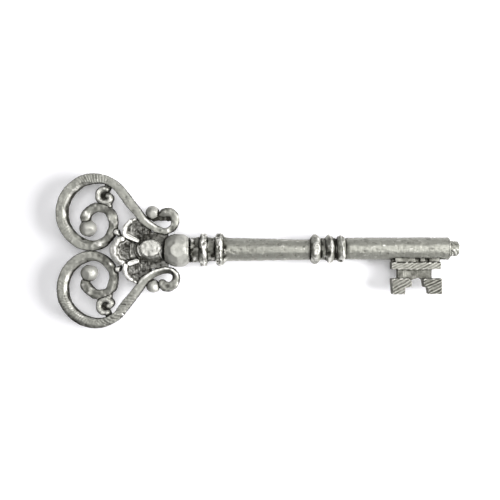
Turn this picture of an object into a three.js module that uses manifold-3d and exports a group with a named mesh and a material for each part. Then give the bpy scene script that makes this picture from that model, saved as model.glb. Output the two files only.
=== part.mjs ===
// Skeleton key with a double-scroll bow, built up from brazed, threaded-on and riveted pieces.
// Millimetres, +Z up. The shaft lies along X, with the pin at +X and the bow at -X, and the bit hangs
// towards -Y. The key lies on the plane z = 0, under the middle of its length.
//
// Inside one frame, "key", the shaft's axis is the X axis and the neck ball's centre is the origin.

import * as THREE from "three";
import { mergeVertices } from "three/addons/utils/BufferGeometryUtils.js";
import Module from "manifold-3d";

const wasm = await Module();
wasm.setup();

// Gaps: between turned faces that meet, between brazed pieces shaped to each other, and round a peg
const seam = 0.08;
const brazeGap = 0.25;
const fit = 0.05;
const pegEndGap = 0.1;

// Shaft: pieces threaded in this order from the neck ball towards the pin
const ballRadius = 5.25;
const ballSeatX = 3.6;
const ballBackX = 4.4;
const neckSleeve = { length: 3.1, end: 3.95, waist: 3.85 };
const rearCollar = { length: 2.45, ridge: 5.0, edge: 4.2, land: 1.4 };
const collarSpool = { length: 2.35, end: 3.9, waist: 3.7 };
const frontCollar = { length: 2.65, ridge: 5.25, edge: 4.2, land: 1.5 };
const rearShankLength = 27.15;
const rearShankRadius = 3.68;
const rearShankEndRadius = 3.2;
const rearShankFlare = { radius: 4.1, length: 1.4, throat: 3.85, throatLength: 0.56 };
const knopRings = [
  { length: 3.15, ridge: 4.75, edge: 3.75, land: 0.9 },
  { length: 2.7, ridge: 4.55, edge: 3.65, land: 0.7 },
  { length: 2.7, ridge: 4.3, edge: 3.6, land: 1.0 },
];
const knopSpools = [
  { length: 1.4, end: 3.55, waist: 3.42 },
  { length: 0.7, end: 3.55, waist: 3.45 },
];
const frontShankLength = 32.7;
const frontShankRadius = 3.4;
const frontShankEndRadius = 3.55;
const shoulderChamfer = 0.45;
const pinLength = 3.0;
const pinRadius = 2.45;
const pinChamfer = 0.4;

// Shares of a ring's sloping side and of its rise at which the slope breaks, and of a spool's length
// that each of its cones takes
const ringBreak = { along: 0.35, rise: 0.55 };
const spoolCone = 0.3;

// Hidden joints of the shaft: the tang runs back into the bow, the spigot holds the knop's rings
const tangRadius = 1.25;
const tangPastRivet = 1.7;
const spigotRadius = 1.7;
const spigotDepth = 7;
const pinPegRadius = 1.3;
const pinPegLength = 4;

// Bow scrolls: a ring that winds in to a volute, and runs out along a slanting band to a small hook.
// Each run turns through sweep degrees on a radius, and ends at the width given. The hook's place is
// what the bow is set out from: the band is as long as it takes to reach it, and the ring lies beyond.
const ringRadius = 10.85;
const ringWidth = 3.2;
const ringSweep = 146.2;
const bandShoulder = { radius: 9.87, sweep: 60.8 };
const bandWidth = 3.1;
const bandEnd = { x: -11.44, y: 10.4, width: 2.7 };
const meetingHeight = 1.56;
const scrollThickness = 4;
const scrollBevel = 0.5;
const voluteStart = 245;
const voluteRuns = [
  { radius: 7.08, sweep: 60, width: 2.9 },
  { radius: 7.08, sweep: 69.3, width: 2.7 },
  { radius: 4.53, sweep: 112.1, width: 2.9 },
  { radius: 4.26, sweep: 43.9, width: 2.4 },
];
const hookRuns = [
  { radius: 11.01, sweep: 42.8, width: 1.9 },
  { radius: 3.28, sweep: 82.1, width: 1.9 },
  { radius: 2.6, sweep: 75.8, width: 2.3 },
  { radius: 2.6, sweep: 70, width: 2.4 },
];
const voluteBall = { radius: 2.8, ahead: 3.27, turn: 27.6 };
const hookBall = { radius: 2.25, ahead: 3.08, turn: -41.8 };

// Small pieces that fill the gaps of the bow; a reach is a stretch of a line to find a piece's place on
const linkAngle = 55.5;
const linkReach = { from: 4.4, to: 7.5 };
const linkWidth = 1.4;
const linkEndWidth = 1.05;
const linkThickness = 3.2;
const linkBevel = 0.3;
const linkOpening = { start: 92, sweep: 205, curlRadius: 1.0, curlSweep: 140 };
const beadAngle = 116;
const beadReach = { from: 0.5, to: 3 };

// Shell ornament: one on each face of a core plate, with three dished lobes
const coreThickness = 2;
const coreInset = 0.7;
const socketRadius = 2.3;
const socketWall = 1;
const shellRimZ = 2.9;
const shellBodyZ = 2.5;
const lobes = [
  { x: -16.6, y: 0, radius: 4.75 },
  { x: -12.9, y: 5.9, radius: 4.4 },
  { x: -12.9, y: -5.9, radius: 4.4 },
];
const lobeRim = 0.85;
const lobeDepth = 1.25;
const bodyHalfHeight = 5.6;
const bodyTipHalfHeight = 4.4;

// Rivet through both shells, with a domed boss at each end that stands just behind the neck ball
const rivetRadius = 0.6;
const bossRadius = 2.85;
const bossHeadZ = 4.75;
const bossFoot = { radius: 3.2, height: 0.5, slope: 0.2 };
const bossToBall = 0.2;
const rivetX = -ballBackX - bossToBall - bossFoot.radius;
const bossShoulder = { radius: 2.65, drop: 0.7 };
const bossCrown = { radius: 1.7, drop: 0.1 };

// Bit: a stepped plate let into the shank, with two feet at its free edge. The feet stand out past
// the bar by their overhangs.
const bitWidth = 15.6;
const bitFromShoulder = 2.6;
const bitThickness = 3.8;
const bitWardThickness = 2.4;
const bitTongue = 1.5;
const barTop = -4.25;
const barBottom = -6.6;
const barNotchSlope = 0.1;
const neckBottom = -9.4;
const footBottom = -14.45;
const bitNotch = 1.9;
const bitNotchRight = 2.9;
const footOverhang = 0.1;
const footRightOverhang = 0.2;
const footTaper = 0.25;
const footWidth = 4.3;
const footRightWidth = 4.4;
const footStepY = -12.2;
const footStep = { width: 2.1, slope: 0.3, rise: 1.4 };
const footRightStep = { width: 1.4, rise: 0.1 };
const archTop = -9.25;
const archShoulder = { left: 0.8, right: 0.9, drop: 0.25 };

// Steps that round shapes are drawn with, and how far a cutter runs past what it cuts
const turnedSteps = 20;
const ballSteps = 14;
const cutterSteps = 20;
const ballBands = 8;
const lobeSteps = 16;
const bossSteps = 10;
const lineSteps = 3;
const arcStep = 12;
const past = 1;

const pewter = new THREE.MeshStandardMaterial({ color: 0xa7a69c, roughness: 0.42, metalness: 1 });
const pewterWorn = new THREE.MeshStandardMaterial({ color: 0xb4b3a9, roughness: 0.36, metalness: 1 });
const pewterDark = new THREE.MeshStandardMaterial({ color: 0x8c8b82, roughness: 0.5, metalness: 1 });

const radians = THREE.MathUtils.degToRad;

// Solids for cutting and joining

function solidOf(geometry) {
  const bare = geometry.index ? geometry.toNonIndexed() : geometry.clone();
  bare.deleteAttribute("normal");
  if (bare.attributes.uv) bare.deleteAttribute("uv");
  const merged = mergeVertices(bare, 1e-4);
  return new wasm.Manifold(
    new wasm.Mesh({
      numProp: 3,
      vertProperties: merged.attributes.position.array,
      triVerts: new Uint32Array(merged.index.array),
    }),
  );
}

function geometryOf(solid) {
  const mesh = solid.getMesh();
  const geometry = new THREE.BufferGeometry();
  geometry.setAttribute("position", new THREE.BufferAttribute(mesh.vertProperties, mesh.numProp));
  geometry.setIndex(new THREE.BufferAttribute(mesh.triVerts, 1));
  geometry.computeVertexNormals();
  return geometry;
}

// A body turned about the X axis: points are [x, r], and go round the section with its metal on the left
function turned(points) {
  const profile = points.map(([x, r]) => new THREE.Vector2(r, x)).reverse();
  profile.push(profile[0].clone());
  return new THREE.LatheGeometry(profile, turnedSteps).rotateZ(-Math.PI / 2);
}

function box(x0, x1, y0, y1, z0, z1) {
  return new THREE.BoxGeometry(x1 - x0, y1 - y0, z1 - z0).translate(
    (x0 + x1) / 2,
    (y0 + y1) / 2,
    (z0 + z1) / 2,
  );
}

function ballAt(centre, radius, steps = ballSteps) {
  return new THREE.SphereGeometry(radius, steps, Math.ceil(steps / 2))
    .rotateX(Math.PI / 2)
    .translate(centre.x, centre.y, 0);
}

function cylinderAlongX(x0, x1, radius) {
  return turned([
    [x0, 0],
    [x1, 0],
    [x1, radius],
    [x0, radius],
  ]);
}

function cylinderAlongZ(x, z0, z1, radius, steps) {
  return new THREE.CylinderGeometry(radius, radius, z1 - z0, steps)
    .rotateX(Math.PI / 2)
    .translate(x, 0, (z0 + z1) / 2);
}

function largest(solid) {
  return solid.decompose().reduce((a, b) => (a.volume() > b.volume() ? a : b));
}

// Planar scrolls

// Points along tangent arcs from a start and a heading in degrees; each keeps its place, heading and width
function chain(start, heading, width, runs) {
  const points = [{ x: start.x, y: start.y, heading, width }];
  for (const run of runs) {
    const from = points[points.length - 1];
    const steps = run.sweep ? Math.ceil(Math.abs(run.sweep) / arcStep) : lineSteps;
    const turn = (run.sweep ?? 0) / steps;
    const length = run.sweep ? 2 * run.radius * Math.sin(radians(Math.abs(turn) / 2)) : run.length / steps;
    for (let i = 1; i <= steps; i++) {
      const last = points[points.length - 1];
      const way = radians(last.heading + turn / 2);
      points.push({
        x: last.x + length * Math.cos(way),
        y: last.y + length * Math.sin(way),
        heading: last.heading + turn,
        width: THREE.MathUtils.lerp(from.width, run.width, i / steps),
      });
    }
  }
  return points;
}

function edgesOf(points) {
  const side = (sign) =>
    points.map((p) => {
      const across = radians(p.heading + 90);
      const reach = (sign * p.width) / 2;
      return new THREE.Vector2(p.x + reach * Math.cos(across), p.y + reach * Math.sin(across));
    });
  return [...side(1), ...side(-1).reverse()];
}

// A bar along a centreline, with its widths, and chamfered edges on both faces
function bar(points, thickness, bevel, extra = 0) {
  const positions = [];
  const index = [];
  const top = thickness / 2;
  for (const p of points) {
    const side = p.width / 2 + extra;
    const across = radians(p.heading + 90);
    const section = [
      [side, bevel - top],
      [side, top - bevel],
      [side - bevel, top],
      [bevel - side, top],
      [-side, top - bevel],
      [-side, bevel - top],
      [bevel - side, -top],
      [side - bevel, -top],
    ];
    for (const [a, z] of section) positions.push(p.x + a * Math.cos(across), p.y + a * Math.sin(across), z);
  }
  const corners = 8;
  const last = (points.length - 1) * corners;
  for (let ring = 0; ring < last; ring += corners)
    for (let k = 0; k < corners; k++) {
      const [a, b] = [ring + k, ring + ((k + 1) % corners)];
      index.push(a, b, a + corners, b, b + corners, a + corners);
    }
  for (let k = 1; k < corners - 1; k++) index.push(0, k + 1, k, last, last + k, last + k + 1);
  const geometry = new THREE.BufferGeometry();
  geometry.setAttribute("position", new THREE.Float32BufferAttribute(positions, 3));
  geometry.setIndex(index);
  geometry.computeVertexNormals();
  return geometry;
}

function distanceTo(points, place) {
  return Math.min(...points.map((p) => Math.hypot(p.x - place.x, p.y - place.y)));
}

// The ring's centre lies on the line from the volute's first arc through the place where they join
const startAngle = radians(voluteStart);
const firstArc = voluteRuns[0].radius;
const ringCentreY = firstArc + meetingHeight - (ringRadius - firstArc) * Math.sin(startAngle);

// Shoulder of the band, as it lies when the ring's centre is at x = 0
const shoulder = chain(
  { x: ringRadius * Math.cos(startAngle), y: ringCentreY + ringRadius * Math.sin(startAngle) },
  voluteStart - 90,
  ringWidth,
  [
    { radius: ringRadius, sweep: -ringSweep, width: ringWidth },
    { radius: bandShoulder.radius, sweep: -bandShoulder.sweep, width: bandWidth },
  ],
);
const shoulderEnd = shoulder[shoulder.length - 1];
const bandLength = (bandEnd.y - shoulderEnd.y) / Math.sin(radians(shoulderEnd.heading));
const ringCentreX = bandEnd.x - shoulderEnd.x - bandLength * Math.cos(radians(shoulderEnd.heading));
const ringCentre = new THREE.Vector2(ringCentreX, ringCentreY);

function upperScroll() {
  const start = { x: ringCentreX + shoulder[0].x, y: shoulder[0].y };
  const inward = chain(start, voluteStart + 90, ringWidth, voluteRuns);
  const outward = [
    ...shoulder.slice(0, -1).map((p) => ({ ...p, x: p.x + ringCentreX })),
    ...chain({ x: ringCentreX + shoulderEnd.x, y: shoulderEnd.y }, shoulderEnd.heading, bandWidth, [
      { length: bandLength, width: bandEnd.width },
      ...hookRuns,
    ]),
  ];
  const reversed = inward.slice(1).reverse();
  return {
    inward,
    outward,
    points: [...reversed.map((p) => ({ ...p, heading: p.heading - 180 })), ...outward],
  };
}

const scroll = upperScroll();

function ahead(points, end) {
  const last = points[points.length - 1];
  const way = radians(last.heading + end.turn);
  return new THREE.Vector2(last.x + end.ahead * Math.cos(way), last.y + end.ahead * Math.sin(way));
}

const voluteBallPlace = ahead(scroll.inward, voluteBall);
const hookBallPlace = ahead(scroll.outward, hookBall);

// The bar ends in cups that its two balls are brazed into, and is filed flat where both scrolls meet
function scrollSolid() {
  const flat = box(ringCentreX - ringRadius, 0, -past, brazeGap / 2, -scrollThickness, scrollThickness);
  let solid = solidOf(bar(scroll.points, scrollThickness, scrollBevel)).subtract(solidOf(flat));
  for (const [place, radius] of [
    [voluteBallPlace, voluteBall.radius],
    [hookBallPlace, hookBall.radius],
    [new THREE.Vector2(0, 0), ballRadius],
  ])
    solid = solid.subtract(solidOf(ballAt(place, radius + brazeGap, cutterSteps)));
  return largest(solid);
}

// The place along a line where a round piece touches what lies on both sides of it, and its radius there
function seatBetween(from, angle, near, far, reach) {
  const way = radians(angle);
  const placeAt = (t) => new THREE.Vector2(from.x + t * Math.cos(way), from.y + t * Math.sin(way));
  let [low, high] = [reach.from, reach.to];
  for (let i = 0; i < 40; i++) {
    const middle = (low + high) / 2;
    if (near(placeAt(middle)) < far(placeAt(middle))) low = middle;
    else high = middle;
  }
  const place = placeAt(low);
  return { place, radius: near(place) - brazeGap };
}

const voluteEdge = edgesOf(scroll.inward);
const ringEdge = edgesOf(scroll.outward);

function linkGeometry() {
  const { place, radius } = seatBetween(
    ringCentre,
    linkAngle,
    (p) => distanceTo(voluteEdge, p),
    (p) => distanceTo(ringEdge, p),
    linkReach,
  );
  const middle = radius - linkWidth / 2;
  const angle = radians(linkOpening.start);
  const start = { x: place.x + middle * Math.cos(angle), y: place.y + middle * Math.sin(angle) };
  const points = chain(start, linkOpening.start + 90, linkWidth, [
    { radius: middle, sweep: linkOpening.sweep, width: linkWidth },
    { radius: linkOpening.curlRadius, sweep: linkOpening.curlSweep, width: linkEndWidth },
  ]);
  return bar(points, linkThickness, linkBevel);
}

function beadGeometry() {
  const lobe = lobes[0];
  const { place, radius } = seatBetween(
    lobe,
    beadAngle,
    (p) => Math.hypot(p.x - lobe.x, p.y - lobe.y) - lobe.radius,
    (p) => distanceTo(voluteEdge, p),
    { from: lobe.radius + beadReach.from, to: lobe.radius + beadReach.to },
  );
  return ballAt(place, radius);
}

// Core plate and shells

function plate(shape, z0, z1) {
  return solidOf(
    new THREE.ExtrudeGeometry(shape, { depth: z1 - z0, bevelEnabled: false }).translate(0, 0, z0),
  );
}

function disc(lobe, radius) {
  const shape = new THREE.Shape();
  shape.absarc(lobe.x, lobe.y, radius, 0, 2 * Math.PI);
  return new THREE.Shape(shape.getPoints(lobeSteps).slice(0, -1));
}

function bodyShape(inset) {
  const left = lobes[0].x;
  const right = -ballBackX - brazeGap;
  return new THREE.Shape([
    new THREE.Vector2(left, inset - bodyHalfHeight),
    new THREE.Vector2(right, inset - bodyTipHalfHeight),
    new THREE.Vector2(right, bodyTipHalfHeight - inset),
    new THREE.Vector2(left, bodyHalfHeight - inset),
  ]);
}

function rivetHole() {
  return cylinderAlongZ(rivetX, -bossHeadZ, bossHeadZ, rivetRadius + fit, bossSteps);
}

// Takes away the room of both scroll bars, the neck ball and the rivet
function trimmed(solid) {
  const upper = solidOf(bar(scroll.points, 2 * scrollThickness, scrollBevel, brazeGap));
  return largest(
    solid
      .subtract(upper)
      .subtract(upper.mirror([0, 1, 0]))
      .subtract(solidOf(ballAt(new THREE.Vector2(0, 0), ballRadius + brazeGap, cutterSteps)))
      .subtract(solidOf(rivetHole())),
  );
}

const tangEndX = rivetX - tangPastRivet;
const socketEndX = tangEndX - socketWall;

function coreSolid() {
  const half = coreThickness / 2;
  let solid = plate(bodyShape(coreInset), -half, half);
  for (const lobe of lobes) solid = solid.add(plate(disc(lobe, lobe.radius - coreInset), -half, half));
  solid = solid.add(solidOf(cylinderAlongX(socketEndX, -ballBackX - brazeGap, socketRadius)));
  solid = solid.subtract(solidOf(cylinderAlongX(tangEndX - brazeGap, 0, tangRadius + fit)));
  return trimmed(solid);
}

// A dish in a lobe: a ball that sinks lobeDepth below the rim and is as wide as the rim's inside there
function dish(lobe) {
  const mouth = lobe.radius - lobeRim;
  const radius = (mouth ** 2 + lobeDepth ** 2) / (2 * lobeDepth);
  return ballAt(lobe, radius, cutterSteps).translate(0, 0, shellRimZ - lobeDepth + radius);
}

function shellSolid() {
  const under = coreThickness / 2 + brazeGap;
  let solid = plate(bodyShape(0), under, shellBodyZ);
  for (const lobe of lobes) solid = solid.add(plate(disc(lobe, lobe.radius), under, shellRimZ));
  for (const lobe of lobes) solid = solid.subtract(solidOf(dish(lobe)));
  solid = solid.subtract(solidOf(cylinderAlongX(socketEndX - brazeGap, 0, socketRadius + brazeGap)));
  const bossSeat = cylinderAlongZ(rivetX, shellBodyZ, bossHeadZ, bossFoot.radius + brazeGap, cutterSteps);
  return trimmed(solid.subtract(solidOf(bossSeat)));
}

function rivetGeometry() {
  const seat = shellBodyZ + brazeGap;
  const half = [
    [rivetRadius, seat],
    [bossFoot.radius, seat],
    [bossFoot.radius, seat + bossFoot.height],
    [bossRadius, seat + bossFoot.height + bossFoot.slope],
    [bossShoulder.radius, bossHeadZ - bossShoulder.drop],
    [bossCrown.radius, bossHeadZ - bossCrown.drop],
    [0, bossHeadZ],
  ];
  const profile = [
    ...half.map(([r, z]) => new THREE.Vector2(r, -z)).reverse(),
    ...half.map(([r, z]) => new THREE.Vector2(r, z)),
  ];
  return new THREE.LatheGeometry(profile, bossSteps).rotateX(Math.PI / 2).translate(rivetX, 0, 0);
}

// Turned pieces of the shaft

function neckBallGeometry() {
  const points = [];
  const from = Math.acos(ballSeatX / ballRadius);
  const to = Math.acos(-ballBackX / ballRadius);
  for (let i = 0; i <= ballBands; i++) {
    const angle = THREE.MathUtils.lerp(from, to, i / ballBands);
    points.push([ballRadius * Math.cos(angle), ballRadius * Math.sin(angle)]);
  }
  const bore = tangRadius + fit;
  return turned([[-ballBackX, bore], [ballSeatX, bore], ...points]);
}

// A ring with a flat ridge, threaded on a peg of the given radius
function ringGeometry(x, ring, peg) {
  const bore = peg + fit;
  const slope = (ring.length - ring.land) / 2;
  const step = slope * ringBreak.along;
  const breakRadius = THREE.MathUtils.lerp(ring.edge, ring.ridge, ringBreak.rise);
  return turned([
    [x, bore],
    [x + ring.length, bore],
    [x + ring.length, ring.edge],
    [x + ring.length - step, breakRadius],
    [x + ring.length - slope, ring.ridge],
    [x + slope, ring.ridge],
    [x + step, breakRadius],
    [x, ring.edge],
  ]);
}

function spoolGeometry(x, spool, peg) {
  const bore = peg + fit;
  const cone = spool.length * spoolCone;
  return turned([
    [x, bore],
    [x + spool.length, bore],
    [x + spool.length, spool.end],
    [x + spool.length - cone, spool.waist],
    [x + cone, spool.waist],
    [x, spool.end],
  ]);
}

// Places along the shaft, each from the one before it
const neckX = ballSeatX + seam;
const rearCollarX = neckX + neckSleeve.length + seam;
const collarSpoolX = rearCollarX + rearCollar.length + seam;
const frontCollarX = collarSpoolX + collarSpool.length + seam;
const rearShankX = frontCollarX + frontCollar.length + seam;
const knopX = [rearShankX + rearShankLength + seam];
for (const piece of [knopRings[0], knopSpools[0], knopRings[1], knopSpools[1], knopRings[2]])
  knopX.push(knopX[knopX.length - 1] + piece.length + seam);
const frontShankX = knopX[knopX.length - 1];
const shoulderX = frontShankX + frontShankLength;
const pinX = shoulderX + seam;
const pinEndX = pinX + pinLength;
const bitRight = shoulderX - bitFromShoulder;
const bitLeft = bitRight - bitWidth;

function rearShankSolid() {
  const end = rearShankX + rearShankLength;
  const boreEnd = end - spigotDepth - pegEndGap;
  const body = turned([
    [tangEndX, 0],
    [boreEnd, 0],
    [boreEnd, spigotRadius + fit],
    [end, spigotRadius + fit],
    [end, rearShankEndRadius],
    [rearShankX + rearShankFlare.length, rearShankRadius],
    [rearShankX + rearShankFlare.throatLength, rearShankFlare.throat],
    [rearShankX, rearShankFlare.radius],
    [rearShankX, tangRadius],
    [tangEndX, tangRadius],
  ]);
  return solidOf(body).subtract(solidOf(rivetHole()));
}

function frontShankSolid() {
  const spigotEnd = rearShankX + rearShankLength - spigotDepth;
  const boreEnd = shoulderX - pinPegLength - pegEndGap;
  const body = turned([
    [spigotEnd, 0],
    [boreEnd, 0],
    [boreEnd, pinPegRadius + fit],
    [shoulderX, pinPegRadius + fit],
    [shoulderX, frontShankEndRadius - shoulderChamfer],
    [shoulderX - shoulderChamfer, frontShankEndRadius],
    [frontShankX, frontShankRadius],
    [frontShankX, spigotRadius],
    [spigotEnd, spigotRadius],
  ]);
  const slotHalf = bitWardThickness / 2 + fit;
  const slot = box(
    bitLeft - fit,
    bitRight + fit,
    -frontShankEndRadius - past,
    -bitTongue + fit,
    -slotHalf,
    slotHalf,
  );
  return solidOf(body).subtract(solidOf(slot));
}

function pinGeometry() {
  return turned([
    [shoulderX - pinPegLength, 0],
    [pinEndX, 0],
    [pinEndX, pinRadius - pinChamfer],
    [pinEndX - pinChamfer, pinRadius],
    [pinX, pinRadius],
    [pinX, pinPegRadius],
    [shoulderX - pinPegLength, pinPegRadius],
  ]);
}

// The bit's outline, seen from above: down its left side, round both feet and the arch, and up its right
function bitOutline() {
  const footLeft = bitLeft - footOverhang;
  const footRight = bitRight + footRightOverhang;
  const innerLeft = footLeft + footWidth;
  const innerRight = footRight - footRightWidth;
  const middle = (footLeft + footRight) / 2;
  const corners = [
    [bitLeft, -bitTongue],
    [bitLeft, barBottom],
    [bitLeft + bitNotch, barBottom - barNotchSlope],
    [bitLeft + bitNotch, neckBottom],
    [footLeft, neckBottom],
    [footLeft + footTaper, footBottom],
    [innerLeft, footBottom],
    [innerLeft, footStepY],
    [innerLeft + footStep.width - footStep.slope, footStepY],
    [innerLeft + footStep.width, footStepY + footStep.rise],
    [middle - archShoulder.left, archTop - archShoulder.drop],
    [middle, archTop],
    [middle + archShoulder.right, archTop - archShoulder.drop],
    [innerRight - footRightStep.width, footStepY],
    [innerRight, footStepY - footRightStep.rise],
    [innerRight, footBottom],
    [footRight, footBottom],
    [footRight, neckBottom],
    [bitRight - bitNotchRight, neckBottom],
    [bitRight - bitNotchRight, barBottom - barNotchSlope],
    [bitRight, barBottom],
    [bitRight, -bitTongue],
  ];
  return new THREE.Shape(corners.map(([x, y]) => new THREE.Vector2(x, y)));
}

// The outline's plate, cut to the stepped thickness that shows from the pin's end
function bitSolid() {
  const ward = bitWardThickness / 2;
  const full = bitThickness / 2;
  const levels = [
    [-bitTongue, ward],
    [barTop, ward],
    [barTop, full],
    [barBottom, full],
    [barBottom, ward],
    [neckBottom, ward],
    [neckBottom, full],
    [footBottom, full],
  ];
  const section = new THREE.Shape([
    ...levels.map(([y, z]) => new THREE.Vector2(y, z)),
    ...levels.map(([y, z]) => new THREE.Vector2(y, -z)).reverse(),
  ]);
  const start = bitLeft - footOverhang - past;
  const length = bitRight + footRightOverhang + past - start;
  const turnedUp = new THREE.Matrix4().set(0, 0, 1, start, 1, 0, 0, 0, 0, 1, 0, 0, 0, 0, 0, 1);
  const stepped = new THREE.ExtrudeGeometry(section, { depth: length, bevelEnabled: false });
  return solidOf(stepped.applyMatrix4(turnedUp)).intersect(plate(bitOutline(), -full - past, full + past));
}

// Assembly

const key = new THREE.Group();

function add(name, geometry, material) {
  const mesh = new THREE.Mesh(geometry, material);
  mesh.name = name;
  key.add(mesh);
}

// The lower half of the bow is the upper one turned over about the shaft's axis
function addPair(name, geometry, material) {
  add("upper_" + name, geometry, material);
  add("lower_" + name, geometry.clone().rotateX(Math.PI), material);
}

addPair("scroll", geometryOf(scrollSolid()), pewter);
addPair("volute_ball", ballAt(voluteBallPlace, voluteBall.radius), pewterWorn);
addPair("hook_ball", ballAt(hookBallPlace, hookBall.radius), pewterWorn);
addPair("link_scroll", linkGeometry(), pewter);
addPair("link_bead", beadGeometry(), pewterWorn);

const shell = geometryOf(shellSolid());
add("bow_core", geometryOf(coreSolid()), pewterDark);
add("front_shell", shell, pewterDark);
add("back_shell", shell.clone().rotateX(Math.PI), pewterDark);
add("boss_rivet", rivetGeometry(), pewterWorn);

add("neck_ball", neckBallGeometry(), pewterWorn);
add("neck_sleeve", spoolGeometry(neckX, neckSleeve, tangRadius), pewter);
add("rear_collar", ringGeometry(rearCollarX, rearCollar, tangRadius), pewter);
add("collar_spool", spoolGeometry(collarSpoolX, collarSpool, tangRadius), pewterDark);
add("front_collar", ringGeometry(frontCollarX, frontCollar, tangRadius), pewter);
add("rear_shank", geometryOf(rearShankSolid()), pewter);
["rear", "middle", "front"].forEach((place, i) =>
  add("knop_ring_" + place, ringGeometry(knopX[2 * i], knopRings[i], spigotRadius), pewter),
);
["rear", "front"].forEach((place, i) =>
  add("knop_spool_" + place, spoolGeometry(knopX[2 * i + 1], knopSpools[i], spigotRadius), pewterDark),
);
add("front_shank", geometryOf(frontShankSolid()), pewter);
add("bit", geometryOf(bitSolid()), pewter);
add("tip_pin", pinGeometry(), pewterWorn);

// The middle of the key's length comes over the origin, and its fattest collar stands on z = 0
const bowEndX = ringCentre.x - ringRadius - ringWidth / 2;
key.position.set(-(bowEndX + pinEndX) / 2, 0, frontCollar.ridge);

const skeletonKey = new THREE.Group();
skeletonKey.add(key);

export default skeletonKey;
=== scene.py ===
import math

import bpy
import numpy as np
from mathutils import Matrix, Vector


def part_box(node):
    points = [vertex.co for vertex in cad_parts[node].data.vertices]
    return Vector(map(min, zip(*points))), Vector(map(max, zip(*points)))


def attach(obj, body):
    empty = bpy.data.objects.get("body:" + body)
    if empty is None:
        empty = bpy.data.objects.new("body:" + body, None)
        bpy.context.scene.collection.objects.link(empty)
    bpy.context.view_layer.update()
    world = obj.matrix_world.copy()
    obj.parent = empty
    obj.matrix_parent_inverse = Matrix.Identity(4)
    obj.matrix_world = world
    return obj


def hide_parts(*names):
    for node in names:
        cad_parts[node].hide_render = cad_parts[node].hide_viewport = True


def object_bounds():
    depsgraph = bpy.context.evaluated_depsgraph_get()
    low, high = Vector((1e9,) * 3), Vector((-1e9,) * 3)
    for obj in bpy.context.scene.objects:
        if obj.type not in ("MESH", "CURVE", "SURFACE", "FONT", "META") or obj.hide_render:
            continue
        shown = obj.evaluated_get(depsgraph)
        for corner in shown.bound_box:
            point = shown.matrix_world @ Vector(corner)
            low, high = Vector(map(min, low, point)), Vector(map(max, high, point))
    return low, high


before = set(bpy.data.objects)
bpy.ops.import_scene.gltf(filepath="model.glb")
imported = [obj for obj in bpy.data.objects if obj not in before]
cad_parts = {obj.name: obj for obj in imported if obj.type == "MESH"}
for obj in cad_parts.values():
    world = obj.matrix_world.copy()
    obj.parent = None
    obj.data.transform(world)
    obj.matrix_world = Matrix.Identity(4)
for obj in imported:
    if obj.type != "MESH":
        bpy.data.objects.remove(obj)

# The looks of a skeleton key with a scrolled bow, made as cast and hand-finished pewter.
# Every piece is carved from a distance field: below zero inside the metal, in millimetres. In the
# fields, the shaft's axis is the X axis, the neck ball's centre is the origin and +Z is the front.

cad_low, cad_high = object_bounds()

MM = 0.001
RIVET_X = -7.8
AXIS_Z = (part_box("front_collar")[0].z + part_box("front_collar")[1].z) / 2
ORIGIN_X = (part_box("boss_rivet")[0].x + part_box("boss_rivet")[1].x) / 2 - RIVET_X * MM
ORIGIN = np.array([ORIGIN_X, 0, AXIS_Z]) / MM

# The grids: the side of a cell, on large pieces and on fine ones, half the seam left between two
# pieces, how far from a surface its fine marks are worked out, and the room round a node's box
CELL = 0.2
FINE_CELL = 0.15
SEAM = 0.015
BAND = 1.0
MARGIN = 1.4


def span(node, axis):
    """A node's lowest and highest place along an axis, in the fields' millimetres."""
    low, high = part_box(node)
    return low[axis] / MM - ORIGIN[axis], high[axis] / MM - ORIGIN[axis]


# Noise


def lattice(i, j, k, seed):
    """A number from -1 to 1 for each whole place, always the same one for a seed."""
    n = i.astype(np.uint32) * np.uint32(0x8DA6B343)
    n ^= j.astype(np.uint32) * np.uint32(0xD8163841)
    n ^= k.astype(np.uint32) * np.uint32(0xCB1AB31F)
    n ^= np.uint32((seed * 0x9E3779B1) & 0xFFFFFFFF)
    n ^= n >> np.uint32(13)
    n *= np.uint32(0x5BD1E995)
    n ^= n >> np.uint32(15)
    n *= np.uint32(0x27D4EB2D)
    n ^= n >> np.uint32(15)
    return n.astype(np.float32) / np.float32(2147483648.0) - np.float32(1.0)


def noise(x, y, z, scale, seed=0):
    """Smooth noise from -1 to 1, with lumps of about the given size in millimetres."""
    whole, part = [], []
    for v in (x, y, z):
        u = np.asarray(v, np.float32) / np.float32(scale) + np.float32(1000)
        base = np.floor(u)
        f = u - base
        whole.append(base.astype(np.int64))
        part.append(f * f * (3 - 2 * f))
    value = 0
    for corner in range(8):
        di, dj, dk = corner & 1, corner >> 1 & 1, corner >> 2
        weight = (part[0] if di else 1 - part[0]) * (part[1] if dj else 1 - part[1])
        weight = weight * (part[2] if dk else 1 - part[2])
        value = value + weight * lattice(whole[0] + di, whole[1] + dj, whole[2] + dk, seed)
    return value


def rng(seed):
    return np.random.default_rng(seed)


def layers(x, y, z, *parts):
    """Noise in layers: each part is a height, the size of its lumps and a seed."""
    return sum(height * noise(x, y, z, scale, seed) for height, scale, seed in parts)


# Field arithmetic


def smin(a, b, k):
    """The lesser of two fields, with a fillet of about the size k."""
    h = np.clip(0.5 + 0.5 * (b - a) / k, 0, 1)
    return b + (a - b) * h - k * h * (1 - h)


def smax(a, b, k):
    return -smin(-a, -b, k)


def ramp(v, low, high):
    """From 0 at low to 1 at high, eased at both ends."""
    t = np.clip((v - low) / (high - low), 0, 1)
    return t * t * (3 - 2 * t)


def bump(v, centre, width):
    return np.exp(-(((v - centre) / width) ** 2))


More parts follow.
